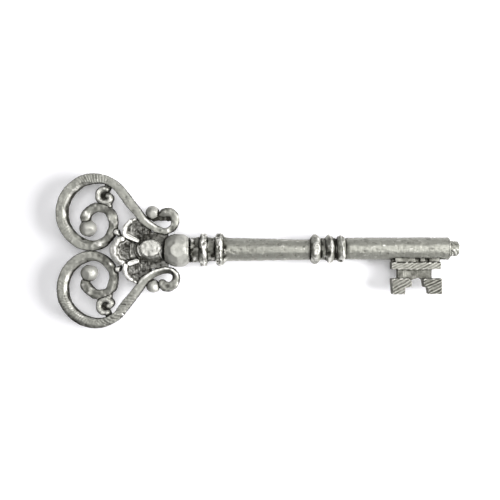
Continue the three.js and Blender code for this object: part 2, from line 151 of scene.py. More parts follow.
def capsule(x, y, z, a, b, ra, rb):
    """A rod from a to b, with a radius at each end."""
    ax, ay, az = (b[i] - a[i] for i in range(3))
    length = ax * ax + ay * ay + az * az
    t = np.clip(((x - a[0]) * ax + (y - a[1]) * ay + (z - a[2]) * az) / length, 0, 1)
    d = np.sqrt((x - a[0] - t * ax) ** 2 + (y - a[1] - t * ay) ** 2 + (z - a[2] - t * az) ** 2)
    return d - (ra + (rb - ra) * t)


def faceted(x, y, z, radius, facets, depth, seed, soft):
    """A ball with hammered flats: each flat cuts a share of up to depth off the radius."""
    r = np.sqrt(x * x + y * y + z * z)
    f = r - radius
    draw = rng(seed)
    for _ in range(facets):
        n = draw.normal(size=3)
        n /= np.linalg.norm(n)
        cut = radius * (1 - depth * (0.4 + 0.6 * draw.random()))
        f = smax(f, n[0] * x + n[1] * y + n[2] * z - cut, soft)
    return f


def polygon(x, y, points):
    """Signed distance to a closed outline."""
    best = None
    inside = np.zeros(np.broadcast(x, y).shape, bool)
    for (ax, ay), (bx, by) in zip(points, points[1:] + points[:1]):
        ex, ey = bx - ax, by - ay
        t = np.clip(((x - ax) * ex + (y - ay) * ey) / (ex * ex + ey * ey), 0, 1)
        d = (x - ax - t * ex) ** 2 + (y - ay - t * ey) ** 2
        best = d if best is None else np.minimum(best, d)
        if ay != by:
            crosses = (ay > y) != (by > y)
            inside ^= crosses & (x < ax + ex * (y - ay) / ey)
    return np.where(inside, -1, 1) * np.sqrt(best)


# Curves: arcs and straights laid end to end, in the plane of the bow


def trace(start, heading, runs):
    """Lays runs of (radius or length, sweep in degrees) from a start; returns them and the end."""
    x, y = start
    turn = math.radians(heading)
    along = 0.0
    laid = []
    for size, degrees in runs:
        sweep = math.radians(degrees)
        length = size * abs(sweep) if degrees else size
        laid.append((x, y, turn, size, sweep, length, along))
        chord = 2 * size * math.sin(abs(sweep) / 2) if degrees else size
        x += chord * math.cos(turn + sweep / 2)
        y += chord * math.sin(turn + sweep / 2)
        turn += sweep
        along += length
    return laid, (x, y), math.degrees(turn)


def nearest(laid, x, y):
    """For points in the plane: how far along the curve they lie, how far off it, and past its ends."""
    shape = np.broadcast(x, y).shape
    best = np.full(shape, 1e9)
    along, off, past = np.zeros(shape), np.zeros(shape), np.zeros(shape)
    for x0, y0, turn, size, sweep, length, before in laid:
        if sweep:
            sign = 1 if sweep > 0 else -1
            cx, cy = x0 - size * sign * math.sin(turn), y0 + size * sign * math.cos(turn)
            first = math.atan2(y0 - cy, x0 - cx)
            middle = abs(sweep) / 2
            angle = (np.arctan2(y - cy, x - cx) - first) * sign - middle
            angle = np.mod(angle + math.pi, 2 * math.pi) - math.pi + middle
            angle = np.clip(angle, 0, abs(sweep))
            s = angle * size
            qx, qy = cx + size * np.cos(first + sign * angle), cy + size * np.sin(first + sign * angle)
            way = turn + sign * angle
            tx, ty = np.cos(way), np.sin(way)
        else:
            tx, ty = math.cos(turn), math.sin(turn)
            s = np.clip((x - x0) * tx + (y - y0) * ty, 0, length)
            qx, qy = x0 + s * tx, y0 + s * ty
        dx, dy = x - qx, y - qy
        d = dx * dx + dy * dy
        closer = d < best
        best = np.where(closer, d, best)
        along = np.where(closer, before + s, along)
        off = np.where(closer, tx * dy - ty * dx, off)
        past = np.where(closer, tx * dx + ty * dy, past)
    return along, off, past


# The bow's scroll: the same runs as the frame's, from the volute's end to the hook's end. The lower
# half is laid out like the upper one and turned over, but its hook is bent on its own runs.

RING = (-25.87, 12.06)
RING_RADIUS = 10.85
VOLUTE_START = 245
VOLUTE_RUNS = [(7.08, 129.3), (4.53, 112.1), (4.26, 43.9)]
BAND_RUNS = [(RING_RADIUS, -146.2), (9.87, -60.8), (11.04, 0)]
HOOK_RUNS = {
    1: [(11.1, 40.9), (3.43, 95.1), (2.67, 123.6)],
    -1: [(10.97, 47.0), (2.79, 91.2), (2.55, 142.8)],
}


def lay_scroll(side):
    angle = math.radians(VOLUTE_START)
    start = (RING[0] + RING_RADIUS * math.cos(angle), RING[1] + RING_RADIUS * math.sin(angle))
    _, inner, heading = trace(start, VOLUTE_START + 90, VOLUTE_RUNS)
    runs = [(size, -sweep) for size, sweep in reversed(VOLUTE_RUNS)] + BAND_RUNS + HOOK_RUNS[side]
    return trace(inner, heading - 180, runs)[0]


SCROLLS = {side: lay_scroll(side) for side in (1, -1)}
RING_START, BAND_START, BAND_END = (SCROLLS[1][i][6] for i in (3, 5, 6))

# The bar's section along its way: reach to the left and to the right of the middle line, bevels on the
# left and on the right, height of the face and how much it is crowned
SECTIONS = {
    1: [
        (0, 1.5, 1.45, 0.6, 0.6, 1.75, 0.15),
        (5, 1.5, 1.5, 0.75, 0.45, 1.85, 0.10),
        (12, 1.45, 1.4, 0.8, 0.4, 1.85, 0.08),
        (18, 1.35, 1.25, 0.85, 0.5, 1.80, 0.10),
        (23, 1.5, 1.45, 0.6, 0.7, 1.90, 0.05),
        (28, 1.6, 1.95, 0.2, 1.15, 2.00, 0.03),
        (36, 1.6, 1.75, 0.15, 1.05, 2.00, 0.02),
        (46, 1.6, 1.95, 0.15, 1.25, 2.00, 0.02),
        (53, 1.6, 1.65, 0.15, 1.0, 2.00, 0.02),
        (57, 1.55, 1.45, 0.15, 0.2, 2.00, 0.02),
        (62, 1.42, 1.3, 0.15, 0.12, 2.00, 0.02),
        (66, 1.4, 1.3, 0.15, 0.12, 2.00, 0.02),
        (70, 1.5, 1.45, 0.2, 0.12, 2.00, 0.04),
        (77, 1.3, 1.2, 0.3, 0.15, 2.00, 0.08),
        (82, 1.15, 1.15, 0.5, 0.3, 1.92, 0.10),
        (85.5, 0.6, 1.15, 0.5, 0.15, 1.90, 0.05),
        (88.5, 1.0, 1.05, 0.5, 0.2, 1.90, 0.08),
        (92, 1.4, 1.2, 0.4, 0.5, 1.85, 0.15),
        (95, 1.6, 1.2, 0.45, 0.6, 1.80, 0.25),
        (96.7, 1.5, 1.15, 0.5, 0.6, 1.70, 0.30),
    ],
    -1: [
        (0, 1.45, 1.5, 0.6, 0.7, 1.75, 0.15),
        (6, 1.5, 1.45, 0.9, 0.4, 1.85, 0.10),
        (12, 1.45, 1.4, 0.9, 0.4, 1.85, 0.08),
        (18, 1.4, 1.3, 0.9, 0.4, 1.85, 0.08),
        (23, 1.5, 1.4, 0.5, 0.6, 1.90, 0.05),
        (28, 1.6, 1.85, 0.25, 1.0, 2.00, 0.04),
        (36, 1.6, 1.7, 0.3, 1.0, 2.00, 0.02),
        (43, 1.6, 1.9, 0.7, 1.1, 2.00, 0.02),
        (49, 1.6, 1.8, 1.35, 0.9, 2.00, 0.02),
        (55, 1.6, 1.6, 1.3, 0.3, 2.00, 0.03),
        (60, 1.5, 1.4, 0.7, 0.15, 2.00, 0.05),
        (66, 1.45, 1.35, 0.6, 0.2, 2.00, 0.10),
        (70, 1.5, 1.45, 0.6, 0.2, 2.00, 0.10),
        (77, 1.35, 1.25, 0.6, 0.2, 2.00, 0.12),
        (82, 1.1, 1.15, 0.8, 0.15, 2.00, 0.05),
        (86.3, 1.1, 0.95, 1.35, 0.1, 1.95, 0.03),
        (89, 1.0, 0.95, 1.2, 0.15, 1.90, 0.05),
        (92, 1.35, 1.15, 0.5, 0.6, 1.85, 0.20),
        (95.5, 1.7, 1.45, 0.6, 0.7, 1.80, 0.30),
        (97.1, 1.5, 1.3, 0.6, 0.6, 1.65, 0.35),
    ],
}
BEVEL_SLOPE = 0.72


def bar_section(off, z, left, right, bevel_left, bevel_right, top, crown, soft):
    """A bar's section: flat or crowned on top, with a bevel on each side."""
    az = np.abs(z)
    c, s = math.cos(BEVEL_SLOPE), math.sin(BEVEL_SLOPE)
    face = az - top + crown * (off / (left + right) * 2) ** 2
    f = smax(np.maximum(off - left, -off - right), face, soft)
    f = smax(f, (off - left + bevel_left) * s + (az - top) * c, soft)
    return smax(f, (-off - right + bevel_right) * s + (az - top) * c, soft)


GROOVE_PITCH = 0.85
NICK_PITCH = 1.15

# Ragged metal left in the upper hook: from, to and the radius at each end
HOOK_WEB = ((-7.6, 10.6, 0), (-2.6, 10.4, 0), 1.15, 1.0)
HOOK_WEB_HALF = 0.8


def scroll_field(side):
    stops = np.array(SECTIONS[side])

    def field(x, y, z, fine=True):
        y = y * side
        along, off, past = nearest(SCROLLS[side], x, y)
        off = np.where(off < 0, -1, 1) * np.hypot(off, past)
        left, right, bevel_left, bevel_right, top, crown = (
            np.interp(along, stops[:, 0], stops[:, i]) for i in range(1, 7))
        if fine:
            wander = noise(along, 0 * along, 0 * along, 3.1, 301 + side)
            left = left + 0.06 * wander
            right = right + 0.08 * noise(along, 0 * along, 0 * along, 2.3, 305 + side)
            bevel_right = bevel_right * (1 + 0.25 * wander)
        f = bar_section(off, z, left, right, bevel_left, bevel_right, top, crown, 0.09)
        if side > 0:
            ragged = 0.4 * noise(x, y, z, 1.1, 311) if fine else 0
            web = capsule(x, y, 0, *HOOK_WEB) + ragged
            f = smin(f, smax(web, np.abs(z) - HOOK_WEB_HALF, 0.2), 0.2)
        if fine:
            f = f + scroll_marks(x, y, z, along, off, side)
        return f

    return field


def scroll_marks(x, y, z, along, off, side):
    """Dents, more of them on volute and hook, file marks on the ring's face, chatter on the band."""
    seed = 3 if side > 0 else 4
    f = layers(x, y, z, (0.035, 2.4, seed), (0.05, 1.0, seed + 5), (0.04, 0.5, seed + 6))
    volute = 1 - ramp(along, RING_START - 8, RING_START)
    f = f + volute * layers(x, y, z, (0.16, 1.9, seed + 9), (0.13, 0.9, seed + 19))
    hook = ramp(along, BAND_END + 4, BAND_END + 8)
    f = f + hook * layers(x, y, z, (0.16, 1.6, seed + 10), (0.1, 0.8, seed + 11))
    face = ramp(np.abs(z), 0.9, 1.5)
    if side > 0:
        hatch = 0.12 * bump(along, 56, 6) + 0.07 * bump(along, 36, 5)
        chatter = 0.06 * bump(along, BAND_START + 5, 5)
    else:
        hatch = 0.15 * bump(along, 48, 8)
        chatter = 0.34 * bump(along, BAND_START - 1, 5.5)
    wander = 0.3 * noise(x, y, z, 2.2, seed + 20)
    grooves = np.cos(2 * math.pi * ((along + 0.25 * off) / GROOVE_PITCH + wander))
    nicks = np.cos(2 * math.pi * ((along - 0.7 * off) / NICK_PITCH + wander))
    uneven = 0.6 + 0.8 * noise(x, y, z, 1.3, seed + 21)
    f = f + face * hatch * np.maximum(grooves, -0.3) * uneven
    f = f + face * chatter * np.maximum(nicks, -0.3) * uneven
    crumbs = np.maximum(noise(x, y, z, 0.7, seed + 23) - 0.35, 0)
    return f + face * crumbs * (0.06 + 2.0 * chatter)


# Balls, link scrolls and beads


def ball_field(place, side, radius, facets, depth, seed):
    """A hammered ball in the bow."""

    def field(x, y, z, fine=True):
        u, v = x - place[0], y * side - place[1]
        f = faceted(u, v, z, radius, facets, depth, seed, 0.1)
        if fine:
            f = f + layers(x, y, z, (0.05, 1.4, seed), (0.03, 0.6, seed + 1))
        return f

    return field


# Middles of the balls, the lower ones turned over to the upper side
VOLUTE_BALLS = {1: (-28.5, 7.2), -1: (-28.2, 7.0)}
VOLUTE_BALL_RADIUS = 2.75
HOOK_BALLS = {1: (-8.05, 11.9), -1: (-8.05, 11.25)}
HOOK_BALL_RADIUS = {1: 2.27, -1: 2.2}

# The link scroll: the middle of its wide turn, the way its free end lies, its turns and its foot
LINK_PLACE = (-23.0, 17.4)
LINK_START = 72
LINK_RUNS = [(2.15, 246), (0.85, 130)]
LINK_FOOT = (LINK_PLACE[0] + 0.9, 14.2, 0)


def lay_link():
    angle = math.radians(LINK_START)
    reach = LINK_RUNS[0][0]
    start = (LINK_PLACE[0] + reach * math.cos(angle), LINK_PLACE[1] + reach * math.sin(angle))
    return trace(start, LINK_START + 90, LINK_RUNS)[0]


LINK = lay_link()
LINK_LENGTH = LINK[-1][6] + LINK[-1][5]


def link_field(side):
    seed = 31 if side > 0 else 37

    def field(x, y, z, fine=True):
        y = y * side
        along, off, past = nearest(LINK, x, y)
        half = np.interp(along, [0, 3, LINK_LENGTH], [0.8, 0.95, 0.85])
        reach = np.hypot(off, past)
        f = smax(reach - half, np.abs(z) - 1.85, 0.15)
        f = smax(f, (reach - half + 0.5) * 0.7 + (np.abs(z) - 1.85) * 0.7, 0.15)
        web = smax(np.hypot(x - LINK_PLACE[0], y - LINK_PLACE[1]) - 1.8, np.abs(z) - 0.45, 0.2)
        tie = smax(capsule(x, y, 0, (-22.4, 19.4, 0), (-22.0, 20.6, 0), 0.8, 1.0), np.abs(z) - 1.3, 0.2)
        foot = capsule(x, y, 0, (LINK_PLACE[0] + 0.3, LINK_PLACE[1] - 2.3, 0), LINK_FOOT, 1.1, 1.1)
        foot = smax(foot, np.abs(z) - 1.5, 0.3)
        f = smin(smin(smin(f, web, 0.2), tie, 0.2), foot, 0.2)
        if fine:
            f = f + layers(x, y, z, (0.1, 1.1, seed), (0.06, 0.5, seed + 1))
        return f

    return field


# The link beads: middle and radius, and where the tail towards the shell ends
BEADS = {
    1: ((-19.45, 5.95), 1.0, (-18.2, 4.5)),
    -1: ((-19.05, 5.85), 0.92, (-18.4, 5.2)),
}


def bead_field(side):
    (bx, by), radius, (tx, ty) = BEADS[side]

    def field(x, y, z, fine=True):
        y = y * side
        rise = np.maximum(np.abs(z) - 1.1, 0)
        f = np.sqrt((x - bx) ** 2 + (y - by) ** 2 + rise**2) - radius
        tail = capsule(x, y, rise, (bx, by, 0), (tx, ty, 0), 0.65, 0.55)
        spur = capsule(x, y, rise * 1.3, (bx, by, 0), (bx - 0.9, by + 0.5, 0), 0.6, 0.55)
        f = smin(smin(f, tail, 0.3), spur, 0.3)
        if fine:
            f = f + 0.09 * noise(x, y, z, 0.9, 41 + side)
        return f

    return field


# The shell ornament, its core plate and the boss

# Lobes: middle and radius, and the way each one opens; the middle lobe's dish stands on its own
LOBES = [(-16.6, 0.0, 4.75), (-12.9, 5.9, 4.4), (-12.9, -5.9, 4.4)]
LOBE_WAYS = [(-1.0, 0.0), (-0.85, 0.53), (-0.85, -0.53)]
FRONT_DISH = (-16.0, 0.0, 3.5)
RIM_TOP = 2.85
DISH_FLOOR = 1.3
BOSS_TOP = 4.7
BOSS_RADIUS = 3.05
BOSS_PLACE = (-8.4, 0.7)


def shell_top(x, y):
    """How high the shell's face stands, and how far inside a dish each place is."""
    boss = np.hypot(x - BOSS_PLACE[0], y - BOSS_PLACE[1])
    ball = np.hypot(x, y)
    valley = 1.35 + 1.25 * np.exp(-((boss / 4.1) ** 4)) + 0.55 * np.exp(-((y / 1.8) ** 2))
    valley = valley + 0.5 * bump(ball, 5.5, 0.28) * ramp(y, -3.6, -2.6) * (1 - ramp(y, 0.6, 1.6))
    surface, dish = valley, np.zeros(np.broadcast(x, y).shape)
    shares = [np.hypot(x - cx, y - cy) / radius for cx, cy, radius in LOBES]
    shares[0] = shares[0] - 0.07
    closest = np.minimum(np.minimum(shares[0], shares[1]), shares[2])
    for i, (cx, cy, radius) in enumerate(LOBES):
        dx, dy = x - cx, y - cy
        r = np.hypot(dx, dy)
        facing = (dx * LOBE_WAYS[i][0] + dy * LOBE_WAYS[i][1]) / np.maximum(r, 1e-6)
        if i == 0:
            past = np.hypot(x - FRONT_DISH[0], y - FRONT_DISH[1]) - FRONT_DISH[2]
            past = past - 0.12 * np.cos(9 * np.arctan2(dy, dx))
            margin = np.maximum(radius - r, 0)
            climb = margin / (margin + np.maximum(past, 0) + 1e-6)
            shape = np.where(past > 0, RIM_TOP - 0.35 * (1 - climb) ** 2,
                             RIM_TOP - (RIM_TOP - DISH_FLOOR) * ramp(-past, 0.05, 0.6))
            rim_here = ramp(facing, -0.3, 0.2)
            inside = (1 - ramp(past, -1.2, -0.35)) * ramp(-x, 14.2, 15.2)
        else:
            crest = radius - 0.75 + 0.08 * np.cos(7 * np.arctan2(dy, dx) + 2 * i)
            bowl = DISH_FLOOR + (RIM_TOP - DISH_FLOOR) * np.clip(r / crest, 0, 1) ** 8
            outer = RIM_TOP - 0.8 * (np.clip(r - crest, 0, None) / 0.95) ** 2.2
            shape = np.where(r < crest, bowl, outer)
            rim_here = ramp(facing, 0.35, 0.65)
            inside = 1 - ramp(np.hypot((x + 11.9) / 5.1, dy / 4.1), 0.72, 1.0)
        here = (shares[i] <= closest + 1e-9) & (r < radius + (0.4 if i == 0 else 1.6))
        lifted = valley * (1 - rim_here) + shape * rim_here
        flat = DISH_FLOOR + 0.25 * ramp(boss, 6.5, 3.8)
        mixed = lifted * (1 - inside * (1 - rim_here) * 0.6) + flat * inside * (1 - rim_here) * 0.6
        surface = np.where(here, mixed, surface)
        dish = np.where(here, np.maximum(dish, inside), dish)
    return surface, dish


# Raised leaves between the lobes: from, to and the half width at each end
LEAVES = [
    ((-15.6, 4.6), (-12.5, 3.1), 0.8, 0.55),
    ((-14.9, -4.0), (-12.8, -3.3), 0.75, 0.7),
]


def leaf_distance(x, y):
    """Distance to the nearer of the two leaves between the lobes."""
    leaves = [capsule(x, y, 0, (ax, ay, 0), (bx, by, 0), wide, slim)
              for (ax, ay), (bx, by), wide, slim in LEAVES]
    return np.minimum(*leaves)


# Raised rims along the side lobes' edges: centre, radius, first and last angle, half width
RIMS = [
    (-12.9, 5.9, 3.8, 112, 206, 0.75),
    (-12.9, -5.9, 3.75, 150, 250, 0.85),
]
# Outline of the shell behind its lobes
BODY = [(-16.2, -5.6), (-5.0, -5.8), (-1.2, -6.1), (-1.2, 6.1), (-5.0, 5.8), (-16.2, 5.6)]


def shell_field(face):
    """The shell on the front (face 1) or on the back (face -1)."""
    seed = 61 if face > 0 else 67

    def field(x, y, z, fine=True):
        up = z * face
        top, dish = shell_top(x, y)
        outline = polygon(x, y, BODY)
        for i, (cx, cy, radius) in enumerate(LOBES):
            r = np.hypot(x - cx, y - cy)
            frill = 0.16 * np.cos(9 * np.arctan2(y - cy, x - cx) + i) if i else 0.05
            outline = smin(outline, r - radius - frill + 0.1, 0.15)
        boss = np.hypot(x - BOSS_PLACE[0], y - BOSS_PLACE[1])
        ribs = sum(0.35 * bump(boss, reach, 0.22) for reach in (4.1, 5.0))
        top = top + ribs * ramp(-(x - RIVET_X) - np.abs(y) * 0.9, 1.2, 2.4)
        top = top + 0.6 * bump(x, -14.9, 0.35) * (1 - ramp(np.abs(y), 1.8, 3.0))
        for cx, cy, reach, first, last, wire in RIMS:
            angle = np.degrees(np.arctan2(y - cy, x - cx)) % 360
            inside = ramp(angle, first - 12, first + 4) * (1 - ramp(angle, last - 4, last + 12))
            lift = 2.92 - 0.5 * np.abs((np.hypot(x - cx, y - cy) - reach) / wire) ** 3
            top = np.maximum(top, lift - 2.0 * (1 - inside))
        petal = np.hypot((x + 6.7) / 1.25, (y + 3.45) / 0.5)
        top = top + 0.4 * np.clip(1 - petal**2, 0, None)
        if fine:
            grain = layers(x, y, z, (1, 0.85, seed), (0.5, 0.425, seed + 17))
            worms = 0.4 - np.abs(noise(x, y, z, 0.75, seed + 3))
            top = top + dish * (0.13 * grain + 0.42 * worms) + 0.05 * noise(x, y, z, 0.6, seed + 4)
            top = top + (1 - dish) * 0.1 * noise(x, y, z, 1.2, seed + 5)
        f = smax(0.8 * (up - top), outline, 0.12)
        leaf = leaf_distance(x, y)
        f = smin(f, smax(leaf, up - 2.8 - 0.25 * np.clip(leaf, -0.6, 0), 0.12), 0.08)
        if fine:
            f = f + 0.04 * noise(x, y, z, 0.9, seed + 6)
        return np.maximum(f, 0.9 - up)

    return field


def core_field(x, y, z, fine=True):
    """The plate between the two shells."""
    outline = polygon(x, y, BODY) + 0.1
    for cx, cy, radius in LOBES:
        outline = smin(outline, np.hypot(x - cx, y - cy) - radius + 0.25, 0.15)
    f = np.maximum(outline, np.abs(z) - 0.9)
    if fine:
        f = f + 0.05 * noise(x, y, z, 1.0, 71)
    return f


def boss_field(face):
    """The hammered boss on one face: a waisted stub with eight bevels."""
    seed = 73 if face > 0 else 79
    draw = rng(seed)
    bevels = []
    for i in range(8):
        a = 2 * math.pi * (i + 0.6 * draw.random()) / 8
        tilt = math.radians(40 + 14 * draw.random())
        bevels.append((a, tilt, BOSS_RADIUS * math.sin(tilt) * (0.86 + 0.1 * draw.random())))

    def field(x, y, z, fine=True):
        up = z * face
        u, y = x - BOSS_PLACE[0], y - BOSS_PLACE[1]
        r = np.hypot(u * 0.93, y * 1.2)
        f = smax(r - BOSS_RADIUS - 0.35 * np.exp(-(((up - 2.2) / 0.7) ** 2)), up - BOSS_TOP, 0.3)
        for a, tilt, cut in bevels:
            reach = math.sin(tilt) * (u * math.cos(a) + y * math.sin(a)) + math.cos(tilt) * (up - BOSS_TOP)
            f = smax(f, reach - cut, 0.12)
        f = smax(f, 1.5 - up, 0.1)
        if fine:
            f = f + layers(x, y, z, (0.08, 0.9, seed), (0.06, 0.45, seed + 1))
            f = f + 0.12 * ramp(up, 3.7, 4.4) * np.maximum(noise(x, y, z, 1.1, seed + 2), -0.2)
        return f

    return field


RIVET_RADIUS = 0.6
RIVET_REACH = 2.5


def rivet_field(x, y, z, fine=True):
    shaft = np.hypot(x - RIVET_X, y) - RIVET_RADIUS
    shaft = np.maximum(shaft, np.abs(z) - RIVET_REACH)
    heads = np.minimum(boss_field(1)(x, y, z, fine), boss_field(-1)(x, y, z, fine))
    return np.minimum(heads, shaft)


# The shaft: one turned profile, parted into its pieces by planes across it

TANG_RADIUS = 1.25
SPIGOT_RADIUS = 1.7
PEG_RADIUS = 1.3
HOLE_GAP = 0.05
COLLARS = ("rear_collar", "collar_spool", "front_collar")
KNOP = ("knop_ring_rear", "knop_spool_rear", "knop_ring_middle", "knop_spool_front", "knop_ring_front")


def shaft_places():
    """Where each turned piece begins and ends along the shaft, from the frame."""
    places = {name: span(name, 0) for name in ("neck_sleeve",) + COLLARS + KNOP}
    places["rear_shank"] = (places["front_collar"][1], places["knop_ring_rear"][0])
    pin_end = span("tip_pin", 0)[1]
    places["front_shank"] = (places["knop_ring_front"][1], pin_end - PIN_LENGTH)
    places["tip_pin"] = (pin_end - PIN_LENGTH, pin_end)
    return places


PIN_LENGTH = 3.08
PLACES = shaft_places()


def ring_profile(name, ridge, foot, flat, bulge=1.0):
    """A collar's rise above the shaft: a ridge with sloping or rounded sides."""
    low, high = PLACES[name]
    middle, half = (low + high) / 2, (high - low) / 2

    def radius(x):
        t = np.clip((np.abs(x - middle) - flat) / (half - flat), 0, 1)
        return foot + (ridge - foot) * (1 - t**bulge)

    return low, high, radius


def spool_profile(name, end, waist):
    """A piece between two rings, slimmer in the middle."""
    low, high = PLACES[name]
    middle, half = (low + high) / 2, (high - low) / 2

    def radius(x):
        t = np.clip(np.abs(x - middle) / half, 0, 1)
        return waist + (end - waist) * t**2.5

    return low, high, radius


def shank_profile(name, first, last, flare):
    """A tapered rod with a flare at its bow end."""
    low, high = PLACES[name]

    def radius(x):
        t = np.clip((x - low) / (high - low), 0, 1)
        return first + (last - first) * t + flare * np.exp(-np.clip(x - low, 0, None) / 0.55)

    return low, high, radius


PROFILES = [
    (-9, PLACES["neck_sleeve"][0], lambda x: 3.6 + 0 * x),
    spool_profile("neck_sleeve", 4.0, 3.92),
    ring_profile("rear_collar", 5.02, 4.1, 0.75, 2.0),
    spool_profile("collar_spool", 3.9, 3.72),
    ring_profile("front_collar", 5.22, 4.3, 0.55, 2.2),
    shank_profile("rear_shank", 3.72, 3.22, 0.75),
    ring_profile("knop_ring_rear", 4.75, 3.7, 0.35, 1.35),
    spool_profile("knop_spool_rear", 3.55, 3.42),
    ring_profile("knop_ring_middle", 4.56, 3.6, 0.1, 1.1),
    spool_profile("knop_spool_front", 3.6, 3.48),
    ring_profile("knop_ring_front", 4.3, 3.4, 0.3, 1.9),
    shank_profile("front_shank", 3.48, 3.55, -0.12),
    (PLACES["tip_pin"][0], PLACES["tip_pin"][1], lambda x: 2.48 - 0.05 * (x - PLACES["tip_pin"][0])),
]

# The shaft is not quite straight: how far it strays sideways along its length
BEND = np.array([(-40, -0.05), (-5, 0.12), (20, 0.14), (38, -0.13), (43, 0.0), (53, 0.13), (88, -0.08)])

PROFILE_STEP = 0.02


def shaft_table():
    """The shaft's radius at close steps along it, with its corners eased."""
    xs = np.arange(0, PLACES["tip_pin"][1] + 1, PROFILE_STEP)
    radii = np.zeros_like(xs)
    for low, high, radius in PROFILES:
        on = (xs >= low) & (xs <= high)
        radii[on] = radius(xs[on])
    for i in range(1, len(radii)):
        if radii[i] == 0 and xs[i] < PLACES["tip_pin"][1]:
            radii[i] = radii[i - 1]
    reach = 7
    kernel = np.hanning(2 * reach + 1)
    kernel /= kernel.sum()
    eased = np.convolve(np.pad(radii, reach, mode="edge"), kernel, mode="valid")
    sharp = (xs > PLACES["front_shank"][1] - 0.6)
    return xs, np.where(sharp, radii, eased)


SHAFT_XS, SHAFT_RADII = shaft_table()
SHAFT_SLOPE = np.abs(np.gradient(SHAFT_RADII, PROFILE_STEP))


def ring_sides(name, count, seed):
    """Hammered flats round a ring: angles, and how deep each one cuts."""
    low, high = PLACES[name]
    draw = rng(seed)
    angles = 2 * math.pi * (np.arange(count) + 0.55 * draw.random(count)) / count
    return low, high, angles, 0.01 + 0.03 * draw.random(count), draw.uniform(-0.25, 0.25, count)


RING_FLATS = [
    ring_sides("rear_collar", 10, 101),
    ring_sides("front_collar", 14, 102),
    ring_sides("knop_ring_rear", 9, 103),
    ring_sides("knop_ring_middle", 8, 104),
    ring_sides("knop_ring_front", 10, 105),
]

# Long flats left by the file along both shanks: angle round the axis and share of the radius kept
SHANK_FLATS = [(90, 0.988), (124, 0.984), (57, 0.982), (21, 0.985), (-14, 0.98), (-50, 0.982), (-89, 0.988),
               (-128, 0.982), (-165, 0.984), (165, 0.982)]


# Pits in the front of the collars and the knop: place, half sizes and depth; the back has them too,
# turned over
PITS = [
    (5.0, 2.2, 0.5, 0.5, 0.2), (5.9, 1.2, 0.45, 0.4, 0.2), (4.8, -1.2, 0.35, 0.7, 0.3),
    (6.6, -1.3, 0.4, 1.2, 0.15),
    (7.3, 0.3, 0.35, 0.35, 0.3), (9.2, 2.6, 0.45, 0.4, 0.35), (11.1, -2.0, 0.8, 0.7, 0.55),
    (11.8, -0.5, 0.35, 1.2, 0.5), (11.7, 1.8, 0.35, 0.9, 0.35), (14.75, 0.7, 0.45, 0.45, 0.5),
    (14.4, -0.7, 0.3, 0.3, 0.3), (16.7, -0.3, 0.35, 0.3, 0.2), (14.8, -2.2, 0.5, 0.5, 0.3),
    (44.95, -1.3, 0.35, 1.4, 0.5),
    (45.3, 1.8, 0.5, 0.9, 0.25), (47.0, -1.3, 0.7, 0.6, 0.45), (49.4, 2.2, 0.55, 1.0, 0.5),
    (49.4, -0.1, 0.5, 1.5, 0.4), (49.9, -2.2, 0.7, 0.7, 0.5), (52.5, -0.2, 0.25, 0.9, 0.25),
]


def shaft_pits(x, y, z):
    """How deep the pits are, with a dimple in the knop's first ring and a raised lip round it."""
    side = np.where(z < 0, -1, 1)
    total = 0
    for px, py, rx, ry, depth in PITS:
        total = total + depth * np.exp(-(((x - px) / rx) ** 2) - ((y * side - py) / ry) ** 2)
    oval = np.sqrt(((x - 43.4) / 0.8) ** 2 + ((y * side - 0.1) / 1.55) ** 2)
    return total + 0.15 * np.clip(1 - oval, 0, 1) - 0.22 * bump(oval, 1.1, 0.28)


# Ridges left standing on the rings: place along the shaft, sway, height and half width
RIDGES = [(8.05, 0.25, 0.26, 0.3), (13.45, 0.12, 0.3, 0.26), (47.9, 0.4, 0.22, 0.3), (51.6, 0.2, 0.24, 0.26)]


